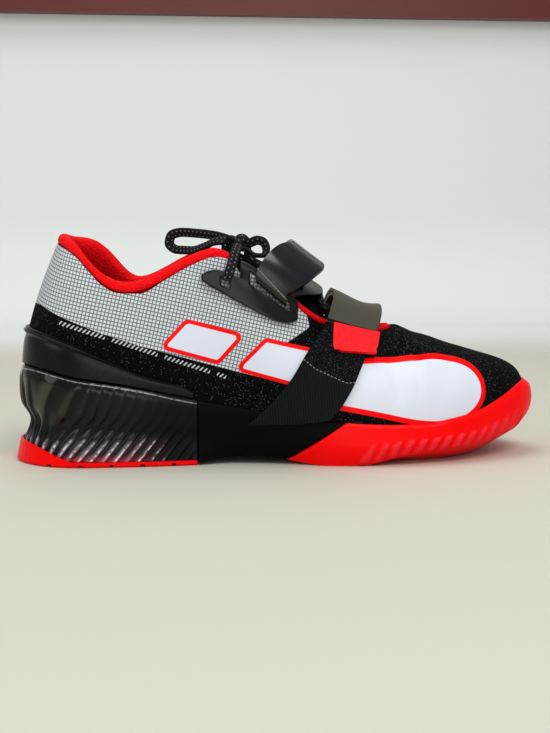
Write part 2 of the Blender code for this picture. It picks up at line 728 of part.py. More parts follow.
def block_foot(share):
    """The block's outline on the plate, which steps in behind the lip."""
    behind = 1 - smooth(0.12, 0.18, share)
    return column(SIDE, 1, share) * CUP_DEPTH - 0.0004 - behind * (LIP + GAP + FIN_DEPTH / 2)


def block_ways():
    """Places round the heel block, two to each rib."""
    end = way_of(BLOCK_END - BLOCK_GAP)
    dense = np.linspace(-end, end, 600)
    walk = np.concatenate([[0], np.cumsum(np.linalg.norm(np.diff(base_plan(dense), axis=0), axis=1))])
    fins = int(round(walk[-1] / FIN_PITCH))
    return np.interp(np.linspace(0, walk[-1], 2 * fins + 1), walk, dense)


def heel_block():
    """The ring of ribs and fins round the heel's core, which holds the upper like a cup."""
    w = block_ways()
    share = base_share(fold(w)[0])
    beat = np.where(np.arange(len(w)) % 2 == 1, 1.0, -1.0) * FIN_DEPTH / 2
    beat = beat * (1 - smooth(BLOCK_END - 0.03, BLOCK_END, share))
    inset = np.full_like(w, -CORE_INSET)
    bed = bed_height(share) - GAP
    cup = cup_points(w, LIP)
    outer = [
        sole_side(w, 5, SIDE_LEVELS[4], 0.35 * beat),
        sole_side(w, 4, SIDE_LEVELS[3], 0.7 * beat),
        sole_side(w, 3, SIDE_LEVELS[2], 0.5 * beat),
        sole_side(w, 2, SIDE_LEVELS[1], 1.0 * beat),
        plan_point(w, block_foot(share) + 0.4 * beat, PLATE + GAP),
    ]
    core = [plan_point(w, inset, PLATE + GAP), plan_point(w, inset, bed)]
    sections = np.stack([cup[0], *outer, *core, *reversed(cup[1:])], axis=1)
    return ring_solid("heel_block", sections, SMOKE_PLASTIC)


def heel_plate():
    """The rubber plate under the heel, with a lip that rises at the heel's back."""
    one_side = np.linspace(0, way_of(BLOCK_END - BLOCK_GAP), 22)
    w = np.concatenate([-one_side[::-1], one_side[1:]])
    share = base_share(fold(w)[0])
    out = column(SIDE, 1, share) * CUP_DEPTH
    rise = PLATE + (PLATE_LIP - PLATE) * plate_lip(share)
    lifted = plate_lip(share) > 0
    low_level = SIDE_LEVELS[1] * rim_height(share)
    climb = np.clip((rise - PLATE) / (low_level - PLATE), 0, 1)
    low = column(SIDE, 2, share) * CUP_DEPTH
    clear = FIN_DEPTH / 2 + 1.5 * GAP
    inner_top = block_foot(share) * (1 - climb) + low * climb + clear
    inner_foot = block_foot(share) + clear
    sections = np.stack([
        spine(w, 0.0),
        plan_point(w, out - 0.0012, 0.0),
        plan_point(w, out, 0.0012),
        plan_point(w, np.where(lifted, inner_top + LIP, out), rise),
        plan_point(w, np.where(lifted, inner_top, out), rise),
        plan_point(w, np.where(lifted, inner_foot, out), PLATE),
        spine(w, PLATE),
    ], axis=1)
    part = fan_solid("outsole_heel", sections, RED_RUBBER, closed=False)
    centres = np.arange(0.022, BLOCK_END * LENGTH - 0.01, HEEL_LUG_PITCH)
    cut_grooves(part, centres, 0.0)
    return part


def cut_grooves(part, centres, slant):
    """Grooves across the underside between the lugs."""
    frames = []
    for s in centres:
        depth = GROOVE_DEPTH + under_height(s / LENGTH)
        along = np.array([math.cos(slant), math.sin(slant), 0.0]) * GROOVE_WIDTH / 2
        across = np.array([-math.sin(slant), math.cos(slant), 0.0]) * BALL_WIDTH
        centre = np.array([s, 0.0, depth - 0.02])
        frames.append((centre, (along, across, np.array([0, 0, 0.02]))))
    combine(part, cutter("grooves", *boxes(frames)), "DIFFERENCE")


def under_point(w, offset, lift):
    """A point of the underside, off the last's plan, at the height of its own place."""
    point = plan_point(w, offset, 0.0)
    point[..., 2] = under_height(point[..., 0] / LENGTH) + lift
    return point


def midsole():
    """The sole's black body: bare at the waist, inside the heel block and the rand elsewhere."""
    block, rand = way_of(BLOCK_END), way_of(RUBBER_START)
    heel = np.linspace(0, block, 12)
    waist = np.linspace(block, rand - 0.0008, 12)
    fore = np.append(rand + 0.0008, fore_ways())
    lateral = [midsole_heel(heel), midsole_waist(waist), midsole_fore(fore)]
    medial = [
        midsole_fore(2 - fore[-2::-1]), midsole_waist(2 - waist[::-1]), midsole_heel(2 - heel[:0:-1]),
    ]
    return fan_solid("midsole", np.concatenate(lateral + medial), BLACK_FOAM, closed=True)


def fore_ways():
    """The forefoot rubber's stations on one side, from its rear end to the toe."""
    return np.linspace(way_of(RUBBER_START) + 0.0035, 1, 27)


def midsole_heel(w):
    """The core inside the heel block."""
    share = base_share(fold(w)[0])
    bed, floor = bed_height(share) - GAP, PLATE + GAP
    inset = np.full_like(w, -CORE_INSET - GAP)
    top, bottom = plan_point(w, inset, bed), plan_point(w, inset, floor)
    rows = [top] * 4 + [(top + bottom) / 2] * 4 + [bottom] * 2
    return np.stack([spine(w, -GAP, bed_height), *rows, spine(w, floor)], axis=1)


def midsole_waist(w):
    """The bare waist, with the cup's wall above it."""
    share = base_share(fold(w)[0])
    rim, low = rim_height(share), edge_height(share)
    rows = list(reversed(cup_points(leaned(w, rim), LIP)))
    for index in (5, 4, 3, 2):
        share_up = SIDE_LEVELS[index - 1]
        rows.append(sole_side(leaned(w, low + (rim - low) * share_up), index, share_up))
    bottom = leaned(w, low)
    rows.append(sole_side(bottom, 1, 0.0))
    rows.append(under_point(bottom, np.full_like(w, -0.4 * CUP_DEPTH), 0.0))
    return np.stack([leaned_spine(w, -GAP, bed_height), *rows, leaned_spine(w, 0.0, under_height)], axis=1)


def midsole_fore(w):
    """The forefoot's body inside the rubber."""
    share = base_share(fold(w)[0])
    bed = bed_height(share)
    high, deep = leaned(w, bed), leaned(w, under_height(share) + RUBBER)
    inset = np.full_like(w, -LEDGE - GAP)
    top = plan_point(high, inset, bed_height(base_share(fold(high)[0])) - GAP)
    bottom = plan_point(deep, inset, rubber_floor(deep) + GAP)
    rows = [top] * 5 + [bottom] * 5
    return np.stack([
        leaned_spine(w, -GAP, bed_height), *rows, leaned_spine(w, RUBBER + GAP, under_height),
    ], axis=1)


def rubber_floor(w):
    """The top of the rubber at the ledge's inner edge, over the underside's slope there."""
    share = base_share(fold(w)[0])
    flat = UNDER_REACH * CUP_DEPTH
    inner = under_point(w, np.full_like(w, -flat), 0.0)[..., 2]
    climb = (flat - LEDGE) / (flat + column(SIDE, 1, share) * CUP_DEPTH)
    slope = inner + (edge_height(share) - inner) * climb
    return np.minimum(slope + 0.65 * RUBBER, bed_height(share) - 0.0022)


def leaned_spine(w, height, height_function):
    u, _ = fold(w)
    share = base_share(u)
    z = height_function(share) + height
    moved = base_share(fold(leaned(w, z))[0])
    place = np.clip(moved, 0.10, 0.86)
    return np.stack([place * LENGTH, centre_line(place), height_function(place) + height], axis=-1)


def forefoot_rubber():
    """The rubber under the forefoot: its plate, rand, toe bumper, side ribs and lugs."""
    one_side = fore_ways()
    w = np.concatenate([one_side, 2 - one_side[-2::-1]])
    share = base_share(fold(w)[0])
    rim, low, bed = rim_height(share), edge_height(share), bed_height(share)
    bottom = leaned(w, low)
    rows = [
        leaned_spine(w, 0.0, under_height),
        under_point(bottom, np.full_like(w, -UNDER_REACH * CUP_DEPTH), 0.0),
        sole_side(bottom, 1, 0.0),
    ]
    for index in (2, 3, 4, 5):
        share_up = SIDE_LEVELS[index - 1]
        rows.append(sole_side(leaned(w, low + (rim - low) * share_up), index, share_up))
    rows += cup_points(w, LIP)[:2]
    half = leaned(w, (rim + bed) / 2)
    half_rim = rim_height(base_share(fold(half)[0]))
    rows.append(off_wall(half, 0.5 * level(half, half_rim), np.full_like(w, GAP)))
    ledge = leaned(w, bed)
    ledge_bed = bed_height(base_share(fold(ledge)[0])) - GAP
    rows.append(plan_point(ledge, np.full_like(w, GAP), ledge_bed))
    rows.append(plan_point(ledge, np.full_like(w, -LEDGE), ledge_bed))
    deep = leaned(w, under_height(share) + RUBBER)
    rows.append(plan_point(deep, np.full_like(w, -LEDGE), rubber_floor(deep)))
    rows.append(leaned_spine(w, RUBBER, under_height))
    part = fan_solid("outsole_forefoot", np.stack(rows, axis=1), RED_RUBBER, closed=False)
    add_ribs(part)
    centres = np.arange(0.60 * LENGTH, 0.92 * LENGTH, LUG_PITCH)
    cut_grooves(part, centres, math.radians(6))
    return part


def add_ribs(part):
    """The slanted blocks on the lower half of the rand."""
    frames = []
    for side in (-1, 1):
        for k in range(RIB_COUNT):
            share = RUBBER_START + 0.045 + k * RIB_PITCH / LENGTH * (1 if k < 9 else 0.96)
            w = np.array([float(loop_of(share, side))])
            low, high = sole_side(w, 2, SIDE_LEVELS[1])[0], sole_side(w, 3, SIDE_LEVELS[2])[0]
            normal = np.append(plan_normal(w)[0], 0.0)
            along = np.array([-normal[1], normal[0], 0.0]) * -side
            up = unit(high - low + along * 0.45 * np.linalg.norm(high - low))
            out = unit(np.cross(np.cross(up, normal), up))
            axes = (
                unit(np.cross(up, out)) * RIB_SIZE[0] / 2,
                out * RIB_SIZE[1],
                up * RIB_SIZE[2] / 2,
            )
            frames.append(((low + high) / 2, axes))
    combine(part, cutter("ribs", *boxes(frames)), "UNION")


def insole():
    """The loose insole on the footbed, just inside the upper."""
    w = np.linspace(0, 2, 40, endpoint=False)
    share = base_share(fold(w)[0])
    bed = bed_height(share)
    low = off_wall(w, np.full_like(w, 0.01), np.full_like(w, -WALL - 0.0012))
    v = level(w, bed + INSOLE)
    high = off_wall(w, v, np.full_like(w, -WALL - 0.0012))
    low[:, 2] = bed + 0.0001
    sections = np.stack([
        spine(w, 0.0001, bed_height), low, high, spine(w, INSOLE, bed_height),
    ], axis=1)
    return fan_solid("insole", sections, BLACK_FOAM, closed=True)


def throat_edge(share, side):
    """Half width and height of the throat's edge at a share of LENGTH along the top line."""
    rows = np.array(TOP)
    top_column, height_column = (1, 3) if side < 0 else (4, 5)
    half = np.interp(share, rows[:, top_column], rows[:, 2]) * COLLAR_WIDTH / 2
    height = np.interp(share, rows[:, top_column], rows[:, height_column]) * COLLAR_HEIGHT
    return half, height


def tongue_arc(share, angle, inset=0.0):
    """A point of the tongue's outer face: along the middle line, and round from side to side."""
    height = column(TONGUE, 1, share) * COLLAR_HEIGHT
    half, edge = throat_edge(share, -1)
    half = np.maximum(half - column(TONGUE, 2, share) * COLLAR_WIDTH / 2, 0.003) - inset
    drop = np.maximum(height - edge, 0.0) + 0.010 - inset
    return np.stack([
        share * LENGTH,
        centre_line(share) + half * np.sin(angle),
        height - inset - drop * (1 - np.cos(angle)),
    ], axis=-1)


def tongue():
    """The padded tongue, domed over the instep between the throat's edges."""
    shares = np.linspace(TONGUE[0][0], TONGUE[-1][0], 15)
    angles = np.radians(np.linspace(-74, 74, 9))
    sections = []
    for share in shares:
        thick = min(TONGUE_WALL, 0.0022 + 0.02 * max(0.0, TONGUE[-1][0] - share))
        outer = tongue_arc(np.full_like(angles, share), angles)
        inner = tongue_arc(np.full_like(angles, share), angles[::-1], thick)
        sections.append(np.concatenate([outer, inner]))
    return ring_solid("tongue", np.array(sections), KNIT)


# Straps follow the taut line round the shoe's section
@functools.lru_cache(maxsize=None)
def taut_line(share, room):
    """The taut line round the section at a share of LENGTH: angles, Y, Z and outward normals.

    room is how far it stays off the tongue and the throat's edges, for the lace under it.
    """
    s = share * LENGTH
    points = []
    for side in (-1, 1):
        for row in OUTER_ROWS[side]:
            order = np.argsort(row[:, 0])
            points.append([np.interp(s, row[order, 0], row[order, k]) for k in (1, 2)])
    if share < THROAT_FRONT:
        for side in (-1, 1):
            row = EDGE_ROWS[side]
            order = np.argsort(row[:, 0])
            y, z = (np.interp(s, row[order, 0], row[order, k]) for k in (1, 2))
            points.append([y, z + 0.0016 + room])
    if TONGUE[0][0] < share < TONGUE[-1][0]:
        angles = np.radians(np.linspace(-70, 70, 15))
        arc = tongue_arc(np.full_like(angles, share), angles)
        points += [[p[1], p[2] + room] for p in arc]
    line = upper_hull(np.array(points))
    first, last = line[0] - (0, 0.03), line[-1] - (0, 0.03)
    line = np.vstack([first, line, last])
    walk = np.concatenate([[0], np.cumsum(np.linalg.norm(np.diff(line, axis=0), axis=1))])
    even = np.linspace(0, walk[-1], 161)
    y, z = np.interp(even, walk, line[:, 0]), np.interp(even, walk, line[:, 1])
    for _ in range(8):
        y[1:-1] = (y[:-2] + 2 * y[1:-1] + y[2:]) / 4
        z[1:-1] = (z[:-2] + 2 * z[1:-1] + z[2:]) / 4
    normal = unit(np.stack([-np.gradient(z), np.gradient(y)], axis=-1))
    middle = bed_height(share) + SECTION_MIDDLE
    return np.arctan2(y, z - middle), y, z, normal


def upper_hull(points):
    """The convex line over points in Y and Z, from the least Y to the greatest."""
    points = points[np.lexsort((points[:, 1], points[:, 0]))]
    line = []
    for p in points:
        while len(line) > 1:
            (ay, az), (by, bz) = line[-2], line[-1]
            if (by - ay) * (p[1] - az) - (bz - az) * (p[0] - ay) < 0:
                break
            line.pop()
        line.append(p)
    return np.array(line)


def taut(share, angle, room=LACE_ROOM):
    """A point on the taut line at an angle in degrees, with its outward normal."""
    angles, y, z, normal = taut_line(round(float(share), 4), room)
    at = math.radians(angle)
    point = np.array([share * LENGTH, np.interp(at, angles, y), np.interp(at, angles, z)])
    out = np.array([0.0, np.interp(at, angles, normal[:, 0]), np.interp(at, angles, normal[:, 1])])
    return point, unit(out)


def angle_at(share, height, side=-1):
    """The angle at which the taut line has a height on one side."""
    angles, _, z, _ = taut_line(round(float(share), 4), LACE_ROOM)
    half = angles < 0 if side < 0 else angles > 0
    order = np.argsort(z[half])
    return math.degrees(np.interp(height, z[half][order], angles[half][order]))


ACROSS = 4               # points over a strap's width


def strap_row(rear_angle, rear, front_angle, front):
    """Points of the taut line and normals across a strap's width."""
    found = []
    for k in range(ACROSS):
        way = k / (ACROSS - 1)
        found.append(taut(rear + (front - rear) * way, rear_angle + (front_angle - rear_angle) * way))
    return np.array([f[0] for f in found]), np.array([f[1] for f in found])


def strap_solid(name, low, high, made_of):
    """A strap from its lower and upper faces, rows along it by points across it."""
    low, high = np.array(low), np.array(high)
    return ring_solid(name, np.concatenate([low, high[:, ::-1]], axis=1), made_of)


def table_rows(table, first, last, count):
    """Strap rows at evenly spaced angles of a table."""
    rows = []
    for angle in np.linspace(first, last, count):
        turn = float(column(table, 3, angle)) if len(table[0]) > 3 else 0.0
        rows.append((angle, float(column(table, 1, angle)), angle + turn, float(column(table, 2, angle))))
    return rows


def folded_strap(name, under, over, turn, made_of):
    """A strap that runs under, turns round a bar and comes back over itself.

    under holds rows up to the bar; over holds rows from it, each with its arch.
    turn is +1 where the strap reaches its bar on the way to the medial side.
    """
    seat, layer = STRAP_SEAT, STRAP_SEAT + STRAP
    half, thick = RAIL
    lift = layer + thick + 4 * GAP
    inside, outside = [], []
    for row in under:
        point, normal = strap_row(*row)
        inside.append(point + normal * layer)
        outside.append(point + normal * seat)
    centre = (layer + lift) / 2
    for degrees in (30, 60, 90, 120, 150):
        c, s = math.cos(math.radians(degrees)), math.sin(math.radians(degrees))
        along = np.stack([np.zeros(ACROSS), normal[:, 2], -normal[:, 1]], axis=-1) * turn
        reach = half + FOLD_ROOM
        near, far = (lift - layer) / 2, (lift - layer) / 2 + STRAP
        inside.append(point + normal * (centre - near * c) + along * reach * s)
        outside.append(point + normal * (centre - far * c) + along * (reach + STRAP) * s)
    for number, (*row, arch) in enumerate(over):
        point, normal = strap_row(*row)
        start = point if number == 0 else start
        fade = 1 - smooth(*FOLD_FADE, np.linalg.norm(point[0] - start[0]))
        base = layer + STRAP_LAYER_GAP + (lift - layer - STRAP_LAYER_GAP) * fade + arch
        inside.append(point + normal * base)
        outside.append(point + normal * (base + STRAP))
    return strap_solid(name, inside, outside, made_of)


def strap_lower():
    """The lower strap, from the lateral sole to the medial ring and back over the instep."""
    under = table_rows(LOWER_STRAP, LOWER_STRAP[0][0], LOWER_STRAP[-1][0], 20)
    over = [(*row, 0.0) for row in table_rows(LOWER_STRAP, LOWER_STRAP[-1][0], RETURN_END, 12)]
    folded_strap("strap_lower", under, over, 1, WEBBING)
    low, high = [], []
    for row in table_rows(TAB_STRAP, TAB_STRAP[0][0], TAB_STRAP[-1][0], 6):
        point, normal = strap_row(*row)
        low.append(point + normal * (STRAP_SEAT + STRAP + STRAP_LAYER_GAP))
        high.append(point + normal * (STRAP_SEAT + STRAP + STRAP_LAYER_GAP + TAB))
    strap_solid("strap_tab", low, high, RED_RUBBER)


def strap_anchor():
    """The webbing that holds the ring to the medial sole."""
    under = table_rows(ANCHOR_STRAP, ANCHOR_STRAP[-1][0], ANCHOR_STRAP[0][0], 8)
    over = [(*row, 0.0) for row in table_rows(ANCHOR_STRAP, ANCHOR_STRAP[0][0], 96, 7)]
    folded_strap("strap_anchor", under, over, -1, WEBBING)


def strap_ring():
    """The ring between the lower strap and its anchor: two bars and two ends."""
    first, last = LOWER_STRAP[-1][0], ANCHOR_STRAP[0][0]
    rear, front = LOWER_STRAP[-1][1] - 0.0125, LOWER_STRAP[-1][2] + 0.0125
    shares = (rear, rear + 0.009, (rear + front) / 2, front - 0.009, front)
    low, high = [], []
    lift = STRAP_SEAT + STRAP + 2 * GAP
    for share in shares:
        row = [taut(share, angle) for middle in (first, last) for angle in bar_edges(share, middle)]
        low.append([p + n * lift for p, n in row])
        high.append([p + n * (lift + RAIL[1]) for p, n in row])
    mask = np.ones((4, 3), dtype=bool)
    mask[1:3, 1] = False
    masked_plate("strap_ring", low, high, mask, BLACK_PLASTIC)


def strap_upper():
    """The upper strap: anchored medially, tight over the instep, round the bracket's rail and back."""
    under = table_rows(UPPER_STRAP_ANCHOR, UPPER_STRAP_ANCHOR[-1][0], UPPER_STRAP_ANCHOR[0][0], 6)
    rails = [rail_angle(edge) for edge in UPPER_STRAP[0][1:3]]
    over = []
    for way in np.linspace(0, 1, 17):
        rear, front, arch = (float(column(UPPER_STRAP, k, way)) for k in (1, 2, 3))
        angles = [rail + (UPPER_STRAP_END - rail) * way for rail in rails]
        over.append((angles[0], rear, angles[1], front, arch * STRAP_ARCH))
    under += [row[:4] for row in over[::-1]]
    folded_strap("strap_upper", under, over, -1, GLOSS_STRAP)


def bar_edges(share, middle):
    """The angles of a bar's two edges about its middle."""
    apart = np.linalg.norm(taut(share, middle + 1)[0] - taut(share, middle - 1)[0])
    half = 2 * RAIL[0] / apart
    return middle - half, middle + half


def rail_angle(share):
    """The angle of the bracket rail's middle at a share of LENGTH."""
    low, high = column(BRACKET_LINES, 5, share), column(BRACKET_LINES, 6, share)
    return angle_at(share, float(low + high) / 2 * COLLAR_HEIGHT)


def lace_bracket():
    """The slotted lateral bracket: a plate with the lace hole, and a raised rail."""
    low, high = [], []
    for share, *heights in BRACKET_LINES:
        angles = [angle_at(share, h * COLLAR_HEIGHT) for h in heights]
        angles[4:] = bar_edges(share, (angles[4] + angles[5]) / 2)
        lifts = [STRAP_SEAT] * 4 + [STRAP_SEAT + STRAP + 2 * GAP] * 2
        row = [taut(share, angle) for angle in angles]
        low.append([p + n * lift for (p, n), lift in zip(row, lifts)])
        high.append([p + n * (lift + RAIL[1]) for (p, n), lift in zip(row, lifts)])
    mask = np.ones((len(BRACKET_LINES) - 1, 5), dtype=bool)
    mask[LACE_HOLE] = False
    mask[:RAIL_FIRST_ROW, 3:] = False
    mask[RAIL_FIRST_ROW + 1:-1, 3] = False
    masked_plate("lace_bracket", low, high, mask, BLACK_PLASTIC)


def masked_plate(name, low, high, mask, made_of):
    """A plate over a grid of points, whose missing cells are its holes and its outline."""
    low, high = np.array(low), np.array(high)
    rows, columns = low.shape[:2]
    points = np.concatenate([low.reshape(-1, 3), high.reshape(-1, 3)])
    faces = []

    def corner(i, j, layer):
        return layer * rows * columns + i * columns + j

    for i, j in np.argwhere(mask):
        loop = ((i, j), (i, j + 1), (i + 1, j + 1), (i + 1, j))
        faces.append(tuple(corner(*c, 0) for c in loop))
        faces.append(tuple(corner(*c, 1) for c in reversed(loop)))
        beside = ((i - 1, j), (i, j + 1), (i + 1, j), (i, j - 1))
        for k, (m, n) in enumerate(beside):
            inside = 0 <= m < rows - 1 and 0 <= n < columns - 1
            if inside and mask[m, n]:
                continue
            a, b = loop[k], loop[(k + 1) % 4]
            faces.append((corner(*a, 0), corner(*b, 0), corner(*b, 1), corner(*a, 1)))
    used = sorted({n for face in faces for n in face})
    place = {n: k for k, n in enumerate(used)}
    faces = [tuple(place[n] for n in face) for face in faces]
    return new_object(name, points[used], faces, made_of)


# The lace
def cord(name, route, made_of, spacing):
    """A round cord on a smooth curve through the route's points."""
    route = np.array(route, dtype=float)
    walk = np.concatenate([[0], np.cumsum(np.linalg.norm(np.diff(route, axis=0), axis=1))])
    count = max(4, int(round(walk[-1] / (spacing * LACE))) + 1)
    table = np.concatenate([walk[:, None], route], axis=1)
    even = np.linspace(0, walk[-1], count)
    points = np.stack([column(table, k, even) for k in (1, 2, 3)], axis=-1)
    curve = bpy.data.curves.new(name, "CURVE")
    curve.dimensions = "3D"
    curve.bevel_depth = LACE / 2
    curve.bevel_resolution = 2
    curve.use_fill_caps = True
    spline = curve.splines.new("POLY")
    spline.points.add(len(points) - 1)
    for slot, point in zip(spline.points, to_world(points)):
        slot.co = (*point, 1.0)
    curve.materials.append(made_of)
    part = bpy.data.objects.new(name, curve)
    PARTS.objects.link(part)
    return part


def lace_bars():
    """The lace's bars over the tongue, one after the other from side to side."""
    route = []
    lift = LACE / 2 + 4 * GAP
    for number, (share, lateral, medial) in enumerate(LACE_BARS):
        angles = np.linspace(lateral, medial, 6)
        if number % 2:
            angles = angles[::-1]
        for angle in angles:
            point, normal = taut(share, angle, 0.0)
            route.append(point + normal * lift)
    cord("lace_bars", route, LACE_CORD, spacing=1.7)


def lace_bow():
    """The bow on the tongue's top: its knot, two loops and the runs to the top holes."""
    bpy.ops.mesh.primitive_uv_sphere_add(segments=10, ring_count=6, radius=1.0)
    knot = bpy.context.object
    knot.name = knot.data.name = "lace_knot"
    for vertex in knot.data.vertices:
        vertex.co = Vector([a * b for a, b in zip(vertex.co, KNOT_SIZE)])
    knot.location = to_world(KNOT_PLACE)
    knot.data.materials.append(LACE_CORD)
    knot.data.shade_smooth()
    for collection in list(knot.users_collection):
        collection.objects.unlink(knot)
    PARTS.objects.link(knot)
    for name, route in (
        ("lace_loop_back", LOOP_BACK), ("lace_loop_front", LOOP_FRONT),
        ("lace_run_lateral", RUN_LATERAL), ("lace_run_medial", RUN_MEDIAL),
    ):
        cord(name, route, LACE_CORD, spacing=1.3)


def build():
    upper()
    collar_roll()
    throat_binding()
    heel_counter()
    heel_block()
    heel_plate()
    midsole()
    forefoot_rubber()
    insole()
    tongue()
    lace_bracket()
    strap_lower()
    strap_anchor()
    strap_ring()
    strap_upper()
    lace_bars()
    lace_bow()


for old in list(bpy.data.objects):
    bpy.data.objects.remove(old)
PARTS = bpy.data.collections.new("weightlifting_shoe")
CUTTERS = bpy.data.collections.new("cutters")
for group in (PARTS, CUTTERS):
    bpy.context.scene.collection.children.link(group)

KNIT = material("knit_black", (0.02, 0.02, 0.022), 0.9)
RED_KNIT = material("knit_red", (0.78, 0.02, 0.03), 0.8)
BLACK_PLASTIC = material("plastic_black", (0.015, 0.015, 0.017), 0.35)
SMOKE_PLASTIC = material("plastic_smoke", (0.25, 0.23, 0.24), 0.15)
RED_RUBBER = material("rubber_red", (0.80, 0.02, 0.03), 0.5)
BLACK_FOAM = material("foam_black", (0.02, 0.02, 0.02), 0.7)
WEBBING = material("webbing", (0.03, 0.04, 0.045), 0.7)
GLOSS_STRAP = material("strap_gloss", (0.03, 0.03, 0.035), 0.35)
LACE_CORD = material("lace", (0.015, 0.015, 0.015), 0.9)

# The shoe's outside on each side, as rows along it: the wall at many heights, and the sole's side
SECTION_MIDDLE = 0.022   # a section's middle above the footbed
OUTER_ROWS, EDGE_ROWS = {}, {}
for side_sign in (-1, 1):
    ways = np.linspace(0.02, 0.995, 90)
    ways = ways if side_sign < 0 else 2 - ways
    OUTER_ROWS[side_sign] = [wall(ways, np.full_like(ways, v)) for v in np.linspace(0, 1, 18)]
    OUTER_ROWS[side_sign] += [sole_side(ways, k, SIDE_LEVELS[k - 1]) for k in (3, 4, 5)]
    EDGE_ROWS[side_sign] = off_wall(ways, np.ones_like(ways), np.full_like(ways, 0.0010))
build()
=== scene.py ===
"""The looks of a weightlifting shoe for the right foot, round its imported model.

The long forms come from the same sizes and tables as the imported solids. s is the way
along the shoe from the heel's back, w the way round the last (0 at the heel's back,
1 at the toe and 2 back at the heel) and v the way up the upper's wall.
"""
import math

import bmesh
import bpy
import numpy as np
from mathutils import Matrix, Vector
from mathutils.bvhtree import BVHTree


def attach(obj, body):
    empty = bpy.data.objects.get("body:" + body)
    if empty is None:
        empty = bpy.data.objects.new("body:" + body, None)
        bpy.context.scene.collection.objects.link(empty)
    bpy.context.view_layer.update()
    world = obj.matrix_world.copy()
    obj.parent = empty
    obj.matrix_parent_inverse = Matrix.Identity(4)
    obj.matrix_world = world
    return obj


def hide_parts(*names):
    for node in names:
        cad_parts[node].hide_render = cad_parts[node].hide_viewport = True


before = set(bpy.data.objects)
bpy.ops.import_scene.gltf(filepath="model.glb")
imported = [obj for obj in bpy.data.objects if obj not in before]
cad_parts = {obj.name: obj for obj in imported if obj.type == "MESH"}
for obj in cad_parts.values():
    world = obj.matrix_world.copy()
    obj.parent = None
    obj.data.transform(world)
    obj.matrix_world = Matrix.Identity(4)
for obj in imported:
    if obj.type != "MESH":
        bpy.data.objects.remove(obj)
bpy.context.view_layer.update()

# Driving sizes
LENGTH = 0.300           # sole, from its back end to the toe bumper
BALL_WIDTH = 0.104       # sole, across the ball
HEEL_WIDTH = 0.078       # sole, across the heel plate
COLLAR_HEIGHT = 0.128    # heel tab above the floor
COLLAR_WIDTH = 0.056     # across the outside of the collar
HEEL_STACK = 0.054       # sole's rim above the floor at the heel
TOE_STACK = 0.043        # top of the toe bumper
TOE_SPRING = 0.022       # underside of the sole above the floor, at the toe
TOE_SWING = 0.004        # toe tip off the heel's centre line, to the medial side
ARCH_LIFT = 0.0045       # underside above the floor at the waist
CUP_DEPTH = 0.012        # from the rim down to the footbed
ORIGIN_S = 0.045         # heel back to the origin

# Walls and clearances
GAP = 0.0003
WALL = 0.002
LIP = 0.0013
ROLL_DROP = 0.007        # the collar roll's height on the outside
BINDING_DROP = 0.0022
PLATE = 0.003            # heel plate
RUBBER = 0.004
CORE_INSET = 0.008       # heel block's wall
LEDGE = 0.004            # width of the ledge that the upper stands on
UNDER_REACH = 1.1        # the underside's flat stops this many CUP_DEPTHs inside the last's plan
FIN_PITCH = 0.0065
FIN_DEPTH = 0.0016
BLOCK_END = 0.345        # share of LENGTH where the heel's recess in the midsole ends
BLOCK_GAP = 0.003        # share of LENGTH between the recess's end and the block and plate in it
RUBBER_START = 0.61      # share of LENGTH where the rand's top edge starts
RUBBER_LEAN = 1.35       # the rand's rear edge runs this far back for each unit down
RIB_PITCH = 0.0073
RIB_COUNT = 13
LACE = 0.0042
VAMP_SLOPE = -0.28       # the vamp's ridge falls this much for each unit forward
STATIONS = 68            # places round the upper
STEP = 0.004             # of the loop and of the wall, over which their slopes are measured
HALVINGS = 22            # steps in the search for the wall's place at a height

# The last's plan: share of LENGTH, then half widths as shares of HEEL_WIDTH and of BALL_WIDTH
# columns: s, lateral_heel, lateral_ball, medial_heel, medial_ball
PLAN = (
    (0.00, 0.436, 0.000, 0.436, 0.000),
    (0.12, 0.442, 0.000, 0.442, 0.000),
    (0.25, 0.436, 0.000, 0.423, 0.000),
    (0.35, 0.300, 0.092, 0.280, 0.078),
    (0.43, 0.160, 0.212, 0.140, 0.183),
    (0.52, 0.040, 0.355, 0.040, 0.316),
    (0.60, 0.000, 0.433, 0.000, 0.423),
    (0.66, 0.000, 0.447, 0.000, 0.471),
    (0.73, 0.000, 0.442, 0.000, 0.495),
    (0.80, 0.000, 0.418, 0.000, 0.481),
    (0.87, 0.000, 0.365, 0.000, 0.433),
    (0.94, 0.000, 0.308, 0.000, 0.375),
    (1.00, 0.000, 0.270, 0.000, 0.327),
)
HEEL_START, HEEL_ROUND, HEEL_POWER = 0.0233, 0.15, 2.2
TOE_END, TOE_ROUND, TOE_POWER = 0.990, 0.783, 2.4

